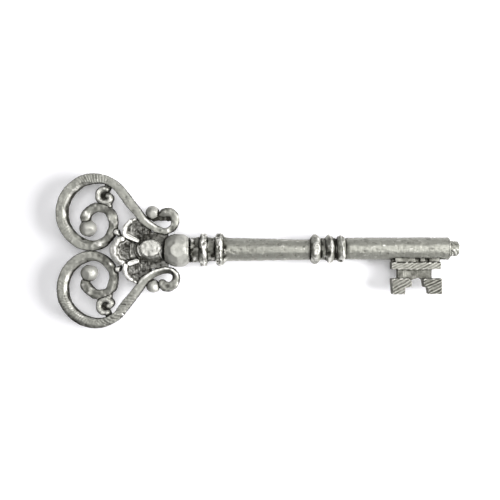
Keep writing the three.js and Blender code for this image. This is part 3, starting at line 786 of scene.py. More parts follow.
def shaft_field(x, y, z, fine=True):
    """Collars, knop and both shanks in one, with their flats, ridges, pits and grain."""
    y = y - np.interp(x, BEND[:, 0], BEND[:, 1])
    radius = np.interp(x, SHAFT_XS, SHAFT_RADII)
    slope = np.interp(x, SHAFT_XS, SHAFT_SLOPE)
    rho = np.hypot(y, z)
    f = (rho - radius) / np.sqrt(1 + np.minimum(slope, 2.5) ** 2)
    end = PLACES["front_shank"][1]
    shank = smax(rho - 3.55, x - end, 0.5)
    pin = smax(rho - radius - 0.08, x - PLACES["tip_pin"][1] + 0.02, 0.25)
    tip = np.minimum(shank, pin)
    f = np.where(x > end - 0.5, tip, f)
    for low, high, angles, cuts, shifts in RING_FLATS:
        near = (x > low - 0.2) & (x < high + 0.2)
        if not near.any():
            continue
        middle = (low + high) / 2
        lean = np.full(np.broadcast(x, y, z).shape, -1e9)
        for a, cut, shift in zip(angles, cuts, shifts):
            side = y * math.cos(a) + z * math.sin(a) + shift * (x - middle)
            lean = np.maximum(lean, side / (1 - cut))
        f = np.where(near, smax(f, (lean - radius) * 0.8, 0.1), f)
    for degrees, kept in SHANK_FLATS:
        a = math.radians(degrees)
        side = y * math.cos(a) + z * math.sin(a)
        on = ((x > PLACES["rear_shank"][0]) & (x < PLACES["rear_shank"][1])) | (
            (x > PLACES["front_shank"][0]) & (x < end - 0.5))
        f = np.where(on, smax(f, side - kept * radius, 0.12), f)
    if not fine:
        return f
    turn = np.arctan2(z, y)
    for ridge_x, sway, height, width in RIDGES:
        place = ridge_x + sway * np.cos(turn * 2 + ridge_x) + 0.25 * noise(x * 0, y, z, 1.6, int(ridge_x * 7))
        f = f - height * bump(x, place, width)
    f = f + shaft_pits(x, y, z)
    cast = ramp(x, 3.4, 4.5) * (1 - ramp(x, PLACES["front_collar"][1], PLACES["front_collar"][1] + 2.2))
    knop = ramp(x, PLACES["knop_ring_rear"][0] - 0.3, PLACES["knop_ring_rear"][0] + 0.2) * (
        1 - ramp(x, PLACES["knop_ring_front"][1] - 0.2, PLACES["knop_ring_front"][1] + 0.5))
    f = f + 0.035 * noise(x * 0.3, y, z, 1.8, 111) + 0.03 * noise(x, y, z, 0.7, 112)
    f = f + layers(x * 0.5, y, z, (0.04, 0.7, 110), (0.06, 0.42, 120))
    f = f + cast * layers(x, y, z, (0.2, 0.9, 113), (0.2, 1.7, 114))
    f = f + knop * layers(x, y, z, (0.2, 1.6, 115), (0.1, 0.8, 116))
    pits = np.maximum(noise(x, y, z, 0.9, 117) - 0.55, 0) * (0.35 + 0.5 * cast)
    ripple = np.cos(2 * math.pi * (x / 0.8 + 0.4 * noise(x, y, z, 1.5, 118))) * ramp(z, 1.0, 3.0)
    f = f + pits + 0.012 * ripple * (1 - cast) * (1 - knop)
    swirl = np.cos(2 * math.pi * (x + 0.9 * y) / 1.7 + 1.2 * noise(x, y, z, 1.6, 119))
    f = f + 0.1 * np.maximum(swirl, -0.4) * ramp(x, end + 0.2, end + 0.5)
    return f + 0.25 * bump(x, end + 0.12, 0.16) * ramp(rho, 1.5, 2.3)


def facing_way(degrees, tilt):
    """A direction at an angle in the plane of the bow, raised by a tilt."""
    return (math.cos(math.radians(degrees)), math.sin(math.radians(degrees)), tilt)


# Flats of the neck ball, alike on its front and back: the way each one faces and its distance
NECK_FLATS = [((0.07, 0.03, 1.0), 4.76)]
for degrees in (8, 49, 88, 131, 176, 222, 268, 312):
    NECK_FLATS.append((facing_way(degrees, 0.0), 5.14))
for degrees, tilt, cut in ((14, 1.1, 5.04), (68, 1.6, 5.17), (128, 1.9, 5.2), (185, 2.0, 5.2),
                           (240, 1.8, 5.17), (305, 1.3, 5.08)):
    NECK_FLATS.append((facing_way(degrees, tilt), cut))
BALL_END = 4.2


def neck_ball_field(x, y, z, fine=True):
    """The ball with its flats, and the cone that it stands on towards the sleeve."""
    az = np.abs(z)
    f = np.sqrt(x * x + y * y + z * z) - 5.4
    for n, cut in NECK_FLATS:
        n = np.array(n) / np.linalg.norm(n)
        f = smax(f, n[0] * x + n[1] * y + n[2] * az - cut, 0.06)
    if fine:
        f = f + layers(x, y, z, (0.05, 2.2, 121), (0.05, 1.1, 122), (0.03, 0.5, 123))
    rho = np.hypot(y, z)
    cone = smax((rho - 3.85) * 0.94, x - BALL_END - 0.3, 0.2)
    cone = smax(cone, 0.5 - x, 0.2)
    if fine:
        cone = cone + 0.25 * noise(x, y, z, 1.0, 124)
    return smin(f, cone, 0.1)


# The bit

BIT_LEFT = 67.33
BIT_RIGHT = 82.93
WEB_HALF = 1.2
BLADE_HALF = 1.88
TONGUE_TOP = -1.5

# Outlines of the small blocks at the bit's root
ROOT_BLOCKS = [
    [(68.3, -2.75), (68.4, -4.15), (74.7, -4.15), (74.6, -2.7)],
    [(76.2, -2.85), (76.2, -4.1), (77.6, -4.1), (77.6, -2.85)],
    [(78.9, -2.75), (78.9, -4.15), (82.3, -4.15), (82.2, -2.7)],
]


def bit_outlines():
    """Outlines of the bit's root and waist, its raised bar and its two feet."""
    left, right = BIT_LEFT, BIT_RIGHT
    web = [(left + 0.1, -1.5), (left + 0.1, -5.6), (left + 1.9, -5.8), (left + 1.9, -10.6),
           (left + 5.2, -10.6), (left + 6.9, -9.65), (left + 8.3, -9.3), (right - 6.4, -9.45),
           (right - 5.0, -10.6), (right - 2.9, -10.6), (right - 2.9, -5.8), (right - 0.35, -5.6),
           (right - 0.35, -1.5)]
    bar = [(left, -4.3), (left - 0.05, -6.5), (left + 7, -6.65), (right - 2.5, -6.62),
           (right - 0.2, -6.55), (right, -4.35)]
    left_foot = [(left - 0.1, -9.4), (left + 5.3, -9.35), (left + 6.4, -10.55), (left + 6.2, -12.0),
                 (left + 5.5, -12.2), (left + 4.2, -12.25), (left + 4.15, -14.42), (left + 0.25, -14.42)]
    right_foot = [(right - 5.8, -9.5), (right + 0.15, -9.4), (right + 0.2, -14.42), (right - 3.9, -14.42),
                  (right - 4.3, -12.25), (right - 5.4, -12.2)]
    return web, bar, left_foot, right_foot


WEB, BAR, LEFT_FOOT, RIGHT_FOOT = bit_outlines()


def file_marks(x, y, z, angle, pitch, seed):
    """Slanting grooves, from -1 in a groove to 1 between grooves."""
    a = math.radians(angle)
    across = -x * math.sin(a) + y * math.cos(a)
    wander = 0.22 * noise(x, y, z, 3.0, seed) + 0.1 * noise(x, y, z, 1.0, seed + 1)
    phase = across / pitch + wander
    wave = np.cos(2 * math.pi * phase)
    depth = 0.65 + 0.5 * noise(x * math.cos(a), across * 2.2, z, 1.6, seed + 2)
    return wave * depth


def bit_field(x, y, z, fine=True):
    """The thin web with the thicker root blocks, bar and feet on it, each with its own file marks."""
    az = np.abs(z)
    web_half, bar_half, foot_half = WEB_HALF, BLADE_HALF, BLADE_HALF
    other_half = BLADE_HALF
    if fine:
        slab = 0.1 * file_marks(x, y, z, 90, 0.55, 131) * (0.4 + 0.8 * np.abs(noise(x, y, z, 2.0, 132)))
        web_half = WEB_HALF + slab * 0.8 + 0.12 * noise(x, y, z, 2.2, 133)
        bar_half = BLADE_HALF - 0.1 + 0.09 * file_marks(x, y, z, 27, 0.85, 134)
        foot_half = BLADE_HALF - 0.12 + 0.11 * file_marks(x, y, z, 30, 0.92, 135)
        other_half = BLADE_HALF - 0.16 + 0.16 * file_marks(x, y, z, 24, 0.9, 136)
    edge = 0.1
    f = smax(polygon(x, y, WEB), az - web_half, edge)
    for block in ROOT_BLOCKS:
        lump = 0.16 * noise(x, y, z, 1.9, 139) + 0.05 if fine else 0
        f = smin(f, smax(polygon(x, y, block), az - BLADE_HALF - 0.1 + lump, edge), 0.08)
    for outline, half in ((BAR, bar_half), (LEFT_FOOT, foot_half), (RIGHT_FOOT, other_half)):
        f = smin(f, smax(polygon(x, y, outline), az - half, edge), 0.14)
    if fine:
        f = f + layers(x, y, z, (0.03, 0.9, 137), (0.015, 0.4, 138))
        speck = np.sqrt((x - BIT_RIGHT - 0.5) ** 2 + (y + 4.0) ** 2 + (z - 1.2) ** 2) - 0.42
        f = smin(f, speck, 0.25)
    return f


# Pieces: which field each one is carved from, which pieces it runs into, and how softly


def bore(radius):
    """A hole along the shaft's axis."""

    def cut(f, x, y, z):
        return np.maximum(f, radius + HOLE_GAP - np.hypot(y, z))

    return cut


def rod(radius, low, high):
    """A rod on the shaft's axis."""

    def add(f, x, y, z):
        return np.minimum(f, np.maximum(np.hypot(y, z) - radius, np.maximum(low - x, x - high)))

    return add


def blind(radius, low, high):
    """A hole along the shaft's axis, from one place to another."""

    def cut(f, x, y, z):
        hole = np.maximum(np.hypot(y, z) - radius - HOLE_GAP, np.maximum(low - x, x - high))
        return np.maximum(f, -hole)

    return cut


def cross_hole(f, x, y, z):
    """The rivet's hole."""
    return np.maximum(f, RIVET_RADIUS + HOLE_GAP - np.hypot(x - RIVET_X, y))


def slot(f, x, y, z):
    """The slot in the front shank that the bit's web stands in."""
    ends = np.maximum(BIT_LEFT - x, x - BIT_RIGHT)
    room = np.maximum(np.abs(z) - WEB_HALF - HOLE_GAP, np.maximum(y - TONGUE_TOP - HOLE_GAP, ends))
    return np.where(np.hypot(y, z) < 2.9, np.maximum(f, -room), f)


# A piece may carry a mask of patina and painted shade and a mask of rubbing and painted highlight.
def piece(field, near=(), blend=0.3, cell=CELL, slot_name="shaft_pewter", between=None, shaping=(),
          stain=None, shine=None):
    return {"field": field, "near": near, "blend": blend, "cell": cell, "slot": slot_name,
            "between": between, "shaping": shaping, "stain": stain, "shine": shine}


def sunken(low, high, share):
    """Patina and painted shade on all that lies nearer the middle plane than high, full from low down: walls
    and low faces are painted darker.
    """

    def stain(p):
        uneven = 0.35 * noise(p[:, 0], p[:, 1], p[:, 2], 1.3, 201)
        return share * (1 - ramp(np.abs(p[:, 2]) + uneven, low, high))

    return stain


def bevel_share(p, side, turned):
    """How far out each place lies on the ring's outer bevel (turned 1) or its inner one (turned -1)."""
    along, off, _ = nearest(SCROLLS[side], p[:, 0], p[:, 1] * side)
    stops = np.array(SECTIONS[side])
    first = 1 if turned > 0 else 2
    reach, bevel = (np.interp(along, stops[:, 0], stops[:, i]) for i in (first, first + 2))
    ring = ramp(along, RING_START - 3, RING_START + 2) * (1 - ramp(along, BAND_START - 6, BAND_START - 2))
    return ramp(off * turned - reach + bevel, 0.0, 0.35) * ring, along


def scroll_patina_and_shade(side):
    """Patina and painted shade low on the bar, painted shade on the rings' outer bevels, much more on the
    lower ring, and painted shade in the bend of the lower hook, where its wall lies in shadow; patina in
    blotches on the volute."""
    low_down = sunken(0.8, 1.7, 0.95)

    def stain(p):
        outer, along = bevel_share(p, side, 1)
        none = 0 * along
        uneven = 0.5 * noise(along, none, p[:, 2], 0.8, 207) + 0.3 * noise(along, none, none, 2.5, 208)
        # Painted shade on the outer bevel: light on the upper ring, heavy on the lower one.
        share = (0.1 if side > 0 else 0.42) + 0.4 * uneven
        volute = 1 - ramp(along, RING_START - 6, RING_START - 1)
        blotch = np.clip(0.2 + 0.5 * noise(p[:, 0], p[:, 1], p[:, 2], 1.3, 211), 0, 1)
        shade_and_blotch = np.maximum(np.clip(share, 0, 1) * outer, volute * blotch)
        # Painted shade on the shadowed wall in the bend of the lower hook.
        if side < 0:
            off = nearest(SCROLLS[side], p[:, 0], -p[:, 1])[1]
            bend = ramp(along, BAND_END + 4, BAND_END + 7) * (1 - ramp(along, BAND_END + 13, BAND_END + 15))
            shade_and_blotch = np.maximum(shade_and_blotch, 0.6 * ramp(off, -0.35, 0.15) * bend)
        return np.maximum(low_down(p), shade_and_blotch)

    return stain


def scroll_rub_and_highlight(side):
    """Painted highlights, with some rubbing, on the rings' inner bevels and on the arris where the band runs
    into the hook.
    """

    def shine(p):
        inner, along = bevel_share(p, side, -1)
        uneven = 0.7 + 0.5 * noise(along, 0 * along, p[:, 2], 1.6, 210)
        rubbed_and_highlit = 0.4 * inner * ramp(np.abs(p[:, 2]), 1.0, 1.3) * uneven
        off = nearest(SCROLLS[side], p[:, 0], p[:, 1] * side)[1]
        arris = bump(off, 0.75, 0.35) if side > 0 else bump(off, -0.6, 0.35)
        arris = arris * ramp(along, BAND_END - 2, BAND_END + 3)
        arris = arris * (1 - ramp(along, BAND_END + 12, BAND_END + 14))
        return np.clip(np.maximum(rubbed_and_highlit, 0.75 * arris * ramp(np.abs(p[:, 2]), 1.5, 1.8)), 0, 1)

    return shine


def proud(low, high, share):
    """Rubbing and a painted highlight on all that stands farther than high from the middle plane."""

    def shine(p):
        uneven = 0.12 * noise(p[:, 0], p[:, 1], p[:, 2], 0.9, 205)
        return share * ramp(np.abs(p[:, 2]) + uneven, low, high)

    return shine


def shell_patina_and_shade(p):
    """Patina in the shell's dishes; painted shade in the channel by the boss and round the shell's foot."""
    x, y, az = p[:, 0], p[:, 1], np.abs(p[:, 2])
    _, dish = shell_top(x, y)
    uneven = 0.25 * noise(x, y, az, 1.1, 206)
    # Painted shade in the low channel towards the boss, and on the lowest parts round the foot.
    valley = 0.68 * (1 - ramp(az + uneven, 2.0, 2.9)) * ramp(x, -14.4, -12.8)
    low = np.maximum(0.85 * (1 - ramp(az + uneven, 1.0, 1.6)), valley)
    return np.maximum((0.62 + uneven) * dish, low) * ramp(leaf_distance(x, y), -0.1, 0.2)


def bit_patina_and_shade(p):
    """Patina and painted shade on the bit's recess, and a lighter painted shade on its root, next to the
    shank.
    """
    root = ramp(p[:, 1], -4.35, -4.2) * (0.42 + 0.3 * noise(p[:, 0], p[:, 1], p[:, 2], 1.2, 209))
    return np.maximum(sunken(1.25, 1.6, 0.55)(p), root)


def shaft_patina_and_shade(p):
    """Patina in blotches, together with painted shade, on the sunk places between the turned rings."""
    x, y, z = p[:, 0], p[:, 1], p[:, 2]
    rho = np.hypot(y, z)
    blotch = layers(x, y, z, (0.9, 1.6, 203), (0.4, 0.6, 204)) + 0.35
    collars = ramp(x, 3.4, 4.2) * (1 - ramp(x, 14.4, 16.8)) * (1 - ramp(rho + blotch, 3.5, 4.9))
    knop = ramp(x, 40.6, 41.8) * (1 - ramp(x, 52.9, 54.6)) * (1 - ramp(rho + blotch, 3.4, 4.5))
    return np.maximum(0.3 * collars, 0.45 * knop)


def turned_piece(name, bore_radius):
    """A slice of the shaft, threaded on the tang or on the spigot."""
    return piece(shaft_field, between=PLACES[name], shaping=(bore(bore_radius),), cell=FINE_CELL,
                 stain=shaft_patina_and_shade)


TANG_END = span("rear_shank", 0)[0]
SPIGOT_START = span("front_shank", 0)[0]
PEG_START = span("tip_pin", 0)[0]
NO_END = 1e3


def list_pieces():
    """Every piece under the name of the node that it replaces."""
    shells = ("front_shell", "back_shell", "bow_core")
    pieces = {}
    for side, word in ((1, "upper"), (-1, "lower")):
        other = "lower_scroll" if side > 0 else "upper_scroll"
        small = (word + "_volute_ball", word + "_hook_ball", word + "_link_scroll", word + "_link_bead")
        pieces[word + "_scroll"] = piece(
            scroll_field(side), small + (other, "neck_ball") + shells, 0.3, CELL, "scroll_pewter",
            stain=scroll_patina_and_shade(side), shine=scroll_rub_and_highlight(side))
        pieces[small[0]] = piece(
            ball_field(VOLUTE_BALLS[side], side, VOLUTE_BALL_RADIUS, 11, 0.13, 11 + side),
            (word + "_scroll",), 0.35, FINE_CELL, "ball_pewter")
        pieces[small[1]] = piece(
            ball_field(HOOK_BALLS[side], side, HOOK_BALL_RADIUS[side], 10, 0.12, 15 + side),
            (word + "_scroll",), 0.35, FINE_CELL, "ball_pewter")
        pieces[small[2]] = piece(link_field(side), (word + "_scroll",), 0.25, FINE_CELL, "scroll_pewter",
                                 stain=sunken(0.7, 1.3, 0.95), shine=proud(1.5, 1.85, 0.3))
        pieces[small[3]] = piece(
            bead_field(side), (word + "_scroll",) + shells, 0.2, FINE_CELL, "ball_pewter",
            stain=sunken(0.7, 1.3, 0.95), shine=proud(1.3, 1.9, 0.6))
    beside = ("upper_scroll", "lower_scroll", "upper_link_bead", "lower_link_bead", "neck_ball", "boss_rivet")
    for name, face in (("front_shell", 1), ("back_shell", -1)):
        pieces[name] = piece(shell_field(face), beside + ("bow_core",), 0.3, FINE_CELL, "shell_pewter",
                             shaping=(cross_hole,), stain=shell_patina_and_shade, shine=proud(2.15, 2.6, 0.9))
    pieces["bow_core"] = piece(
        core_field, ("upper_scroll", "lower_scroll", "front_shell", "back_shell", "neck_ball"), 0.2, CELL,
        "shell_pewter", shaping=(blind(TANG_RADIUS, TANG_END - 0.25, NO_END), cross_hole))
    pieces["boss_rivet"] = piece(rivet_field, ("front_shell", "back_shell"), 0.3, FINE_CELL, "ball_pewter",
                                 stain=sunken(2.3, 3.1, 0.6), shine=proud(3.9, 4.5, 0.22))
    pieces["neck_ball"] = piece(
        neck_ball_field, ("upper_scroll", "lower_scroll") + shells + ("neck_sleeve",), 0.35, CELL,
        "ball_pewter", between=(-NO_END, BALL_END), shaping=(bore(TANG_RADIUS),))
    pieces["neck_sleeve"] = piece(
        shaft_field, ("neck_ball",), between=(BALL_END, PLACES["neck_sleeve"][1]),
        shaping=(bore(TANG_RADIUS),), cell=FINE_CELL, stain=shaft_patina_and_shade)
    for name in COLLARS:
        pieces[name] = turned_piece(name, TANG_RADIUS)
    for name in KNOP:
        pieces[name] = turned_piece(name, SPIGOT_RADIUS)
    low, high = PLACES["rear_shank"]
    pieces["rear_shank"] = piece(
        shaft_field, between=(low, high),
        shaping=(rod(TANG_RADIUS, TANG_END, low + 0.5),
                 blind(SPIGOT_RADIUS, SPIGOT_START - 0.1, NO_END), cross_hole), stain=shaft_patina_and_shade)
    low, high = PLACES["front_shank"]
    pieces["front_shank"] = piece(
        shaft_field, ("bit",), 0.3, between=(low, high),
        shaping=(rod(SPIGOT_RADIUS, SPIGOT_START, low + 0.5),
                 blind(PEG_RADIUS, PEG_START - 0.1, NO_END), slot), stain=shaft_patina_and_shade)
    pieces["bit"] = piece(bit_field, ("front_shank",), 0.3, FINE_CELL, "bit_pewter", stain=bit_patina_and_shade)
    low, high = PLACES["tip_pin"]
    pieces["tip_pin"] = piece(
        shaft_field, between=(low, high), cell=FINE_CELL, shaping=(rod(PEG_RADIUS, PEG_START, low + 0.5),))
    return pieces


PIECES = list_pieces()


def joined(name, x, y, z, fine=True):
    """The metal of a piece and of all that it runs into, softly filleted, and each one's own field."""
    spec = PIECES[name]
    own = total = spec["field"](x, y, z, fine)
    others = []
    for other in spec["near"]:
        if PIECES[other]["field"] is not spec["field"]:
            others.append(PIECES[other]["field"](x, y, z, fine))
            total = smin(total, others[-1], spec["blend"])
    return total, own, others


def clear_of_box(x, y, z):
    """Keeps every piece inside the frame's own box."""
    low = np.array(cad_low) / MM - ORIGIN
    high = np.array(cad_high) / MM - ORIGIN
    f = np.maximum(low[0] - x, x - high[0])
    f = np.maximum(f, np.maximum(low[1] - y, y - high[1]))
    return np.maximum(f, np.maximum(low[2] - z, z - high[2]))


def carve(name, x, y, z, fine=True):
    """A piece's own share of the joined metal."""
    spec = PIECES[name]
    f, own, others = joined(name, x, y, z, fine)
    for theirs in others:
        f = np.maximum(f, (own - theirs) / 2 + SEAM)
    if spec["between"]:
        f = np.maximum(f, np.maximum(spec["between"][0] - x, x - spec["between"][1]) + SEAM)
    for shape in spec["shaping"]:
        f = shape(f, x, y, z)
    return np.maximum(f, clear_of_box(x, y, z))


# Meshing


def surface_net(f, low, cell):
    """The quads round a field's zero level: one corner in each cell that the surface crosses."""
    inside = f < 0
    cells = tuple(n - 1 for n in f.shape)
    size = cells[0] * cells[1] * cells[2]
    total = [np.zeros(size) for _ in range(3)]
    count = np.zeros(size)
    quads = []
    for axis in range(3):
        first = tuple(slice(0, -1) if i == axis else slice(None) for i in range(3))
        second = tuple(slice(1, None) if i == axis else slice(None) for i in range(3))
        crossed = inside[first] != inside[second]
        base = np.argwhere(crossed)
        a, b = f[first][crossed], f[second][crossed]
        place = base.astype(np.float64)
        place[:, axis] += a / (a - b)
        u, v = (axis + 1) % 3, (axis + 2) % 3
        ring = []
        for du, dv in ((0, 0), (-1, 0), (-1, -1), (0, -1)):
            c = base.copy()
            c[:, u] += du
            c[:, v] += dv
            flat = (c[:, 0] * cells[1] + c[:, 1]) * cells[2] + c[:, 2]
            ring.append(flat)
            count += np.bincount(flat, minlength=size)
            for i in range(3):
                total[i] += np.bincount(flat, weights=place[:, i], minlength=size)
        ring = np.stack(ring, 1)
        ring[a >= 0] = ring[a >= 0][:, ::-1]
        quads.append(ring)
    used = np.flatnonzero(count)
    number = np.full(size, -1, np.int64)
    number[used] = np.arange(len(used))
    points = np.stack([t[used] / count[used] for t in total], 1) * cell + low
    return points, number[np.concatenate(quads)]


def main_body(points, quads, least=400):
    """Drops loose crumbs: keeps each connected part with at least so many faces."""
    label = np.arange(len(points))
    while True:
        lowest = label[quads].min(1)
        new = label.copy()
        for i in range(4):
            np.minimum.at(new, quads[:, i], lowest)
        new = new[new]
        if (new == label).all():
            break
        label = new
    part = label[quads[:, 0]]
    sizes = np.bincount(part, minlength=len(points))
    quads = quads[sizes[part] >= least]
    used = np.unique(quads)
    number = np.full(len(points), -1, np.int64)
    number[used] = np.arange(len(used))
    return points[used], number[quads]


def corner_normals(points, quads):
    """The way the surface faces at each corner."""
    across = points[quads[:, 2]] - points[quads[:, 0]]
    along = points[quads[:, 3]] - points[quads[:, 1]]
    face = np.cross(across, along)
    normals = np.zeros_like(points)
    for i in range(4):
        for k in range(3):
            normals[:, k] += np.bincount(quads[:, i], weights=face[:, k], minlength=len(points))
    return normals / np.maximum(np.linalg.norm(normals, axis=1, keepdims=True), 1e-12)


def wear_and_painted_light(name, points, normals):
    """For each corner: how closed in it lies, painted near-black as patina and as painted shade in crevices
    and between pieces, and how far it stands out on an edge, painted light as rubbing and as a painted
    highlight.
    """

    def metal(distance):
        p = points + normals * distance
        return joined(name, *p.T)[0]

    smooth = joined(name, *points.T, fine=False)[0]
    # Probes along the normal: corners closed in by metal, also by that of the neighbouring pieces, get
    # painted shade along with patina.
    near = 1 - np.clip(metal(0.3) / 0.3, 0, 1)
    wide = 1 - np.clip(metal(1.1) / 1.1, 0, 1)
    patina_and_shade = np.clip(1.5 * np.clip(near - 0.06, 0, 1) + 1.1 * np.clip(wide - 0.12, 0, 1), 0, 1)
    patina_and_shade = np.maximum(patina_and_shade, np.clip((-smooth - 0.03) / 0.35, 0, 1) ** 0.7)
    # Corners that stand out get a painted highlight along with rubbing.
    sunk = 1 - np.clip(-metal(-0.35) / 0.35, 0, 1)
    edge = np.maximum(2.1 * np.clip(sunk - 0.08, 0, 1), 0.8 * np.clip((smooth - 0.02) / 0.18, 0, 1))
    spec = PIECES[name]
    # Each piece's own mask of patina and painted shade.
    if spec["stain"]:
        stain = np.clip(spec["stain"](points), 0, 1)
        patina_and_shade = np.maximum(patina_and_shade, stain)
        edge = edge * (1 - 0.6 * stain)
    # Each piece's own mask of rubbing and painted highlight.
    if spec["shine"]:
        shine = spec["shine"](points)
        edge = np.maximum(edge, shine)
        patina_and_shade = patina_and_shade * (1 - 0.7 * shine)
    return patina_and_shade, np.clip(edge, 0, 1)


def build(name):
    """Carves a piece. Fine marks are worked out only near its plain surface."""
    cell = PIECES[name]["cell"]
    low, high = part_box(name)
    low = np.array(low) / MM - ORIGIN - MARGIN
    high = np.array(high) / MM - ORIGIN + MARGIN
    axes = [np.arange(low[i], high[i] + cell, cell) for i in range(3)]
    x, y, z = axes[0][:, None, None], axes[1][None, :, None], axes[2][None, None, :]
    shape = tuple(len(a) for a in axes)
    plain = np.broadcast_to(carve(name, x, y, z, fine=False), shape)
    band = np.abs(plain) < BAND
    f = np.where(plain < 0, -BAND, BAND)
    i, j, k = np.nonzero(band)
    f[band] = carve(name, axes[0][i], axes[1][j], axes[2][k])
    f[0], f[-1], f[:, 0], f[:, -1], f[:, :, 0], f[:, :, -1] = (BAND,) * 6
    points, quads = surface_net(f, low, cell)
    points, quads = main_body(points, quads)
    normals = corner_normals(points, quads)
    patina_and_shade, edge = wear_and_painted_light(name, points, normals)
    return make_mesh(name, points, quads, patina_and_shade, edge)


def link_object(name, data):
    obj = bpy.data.objects.new(name, data)
    bpy.context.scene.collection.objects.link(obj)
    return obj


def make_mesh(name, points, quads, patina_and_shade, edge):
    """A smooth shaded object from corners in millimetres and quads, with its patina and painted shade, and
    its rubbing and painted highlight, on the corners.
    """
    mesh = bpy.data.meshes.new(name + "_form")
    mesh.vertices.add(len(points))
    mesh.vertices.foreach_set("co", ((points + ORIGIN) * MM).astype(np.float32).ravel())
    mesh.loops.add(quads.size)
    mesh.loops.foreach_set("vertex_index", quads.astype(np.int32).ravel())
    mesh.polygons.add(len(quads))
    mesh.polygons.foreach_set("loop_start", np.arange(0, quads.size, 4, dtype=np.int32))
    mesh.polygons.foreach_set("loop_total", np.full(len(quads), 4, np.int32))
    mesh.polygons.foreach_set("use_smooth", np.ones(len(quads), bool))
    mesh.update(calc_edges=True)
    mesh.validate()
    for label, values in (("patina_and_shade", patina_and_shade), ("edge", edge)):
        layer = mesh.attributes.new(label, "FLOAT", "POINT")
        layer.data.foreach_set("value", values.astype(np.float32))
    return link_object(name + "_form", mesh)


# Materials


class Nodes:
    """Short calls for building the nodes of a material or of the sky."""

    def __init__(self, owner):
        owner.use_nodes = True
        self.tree = owner.node_tree

    def node(self, kind, **settings):
        made = self.tree.nodes.new(kind)
        for key, value in settings.items():
            setattr(made, key, value)
        return made

    def link(self, a, b):
        self.tree.links.new(a, b)

    def noise(self, scale, detail, stretch=(1, 1, 1)):
        place = self.node("ShaderNodeTexCoord")
        mapping = self.node("ShaderNodeMapping")
        mapping.inputs["Scale"].default_value = stretch
        texture = self.node("ShaderNodeTexNoise")
        texture.inputs["Scale"].default_value = scale
        texture.inputs["Detail"].default_value = detail
        self.link(place.outputs["Object"], mapping.inputs["Vector"])
        self.link(mapping.outputs["Vector"], texture.inputs["Vector"])
        return texture.outputs["Fac"]

    def scale(self, value, low, high, to_low=0.0, to_high=1.0):
        mapped = self.node("ShaderNodeMapRange")
        for label, number in zip(("From Min", "From Max", "To Min", "To Max"), (low, high, to_low, to_high)):
            mapped.inputs[label].default_value = number
        self.link(value, mapped.inputs["Value"])
        return mapped.outputs["Result"]

    def math(self, kind, a, b, clamped=True):
        made = self.node("ShaderNodeMath", operation=kind, use_clamp=clamped)
        for socket, value in zip(made.inputs, (a, b)):
            if isinstance(value, (int, float)):
                socket.default_value = value
            else:
                self.link(value, socket)
        return made.outputs["Value"]

    def blend(self, factor, a, b):
        mix = self.node("ShaderNodeMix", data_type="RGBA")
        self.link(factor, mix.inputs["Factor"])
        for socket, value in ((mix.inputs["A"], a), (mix.inputs["B"], b)):
            if isinstance(value, tuple):
                socket.default_value = value
            else:
                self.link(value, socket)
        return mix.outputs["Result"]

    def attribute(self, name):
        return self.node("ShaderNodeAttribute", attribute_name=name).outputs["Fac"]


def pewter(name, body, rub_and_highlight_colour, patina_and_shade_colour, roughness, patina, grain_stretch=(1, 1, 1), metallic=0.85):
    """Antique pewter: a light colour on edges, partly rubbing and partly painted highlight; a near-black,
    duller finish in recesses, partly patina and partly painted shade; with fine scratches and casting grain.
    """
    material = bpy.data.materials.new(name)
    n = Nodes(material)
    shader = n.tree.nodes["Principled BSDF"]
    shader.inputs["Metallic"].default_value = metallic
    shader.inputs["Specular IOR Level"].default_value = 0.2
    mottle = n.noise(900, 4)
    fine = n.noise(4200, 3, grain_stretch)
    # Patina and painted shade: recesses and crevices go near-black.
    patina_and_shade = n.math("MULTIPLY", n.attribute("patina_and_shade"), patina)
    patina_and_shade = n.math("MULTIPLY", patina_and_shade, n.scale(mottle, 0.3, 0.7, 0.7, 1.3))
    # Rubbing and painted highlight: edges and raised places go light.
    edge = n.math("MULTIPLY", n.attribute("edge"), n.scale(mottle, 0.35, 0.6, 0.5, 1.4))
    edge = n.scale(edge, 0.1, 0.7)
    cloud = n.blend(n.scale(n.noise(260, 3), 0.35, 0.65), body, tuple(c * 0.88 for c in body[:3]) + (1,))
    rubbed_and_highlit = n.blend(edge, cloud, rub_and_highlight_colour)
    color = n.blend(patina_and_shade, rubbed_and_highlit, patina_and_shade_colour)
    n.link(color, shader.inputs["Base Color"])
    rough_here = n.math("ADD", n.scale(fine, 0.3, 0.7, roughness - 0.06, roughness + 0.08),
                        n.math("MULTIPLY", patina_and_shade, 0.25))
    n.link(n.math("SUBTRACT", rough_here, n.math("MULTIPLY", edge, 0.1)), shader.inputs["Roughness"])
    relief = n.node("ShaderNodeBump")
    relief.inputs["Strength"].default_value = 0.6
    relief.inputs["Distance"].default_value = 0.00008
    height = n.math("ADD", n.math("MULTIPLY", fine, 0.6), n.math("MULTIPLY", mottle, 0.6))
    n.link(height, relief.inputs["Height"])
    n.link(relief.outputs["Normal"], shader.inputs["Normal"])
    return material


# The light colour is rubbing and a painted highlight; the near-black ones, here and in the table below, are
# patina and painted shade.
RUB_AND_HIGHLIGHT = (0.95, 0.94, 0.89, 1)
PATINA_AND_SHADE = (0.05, 0.048, 0.04, 1)

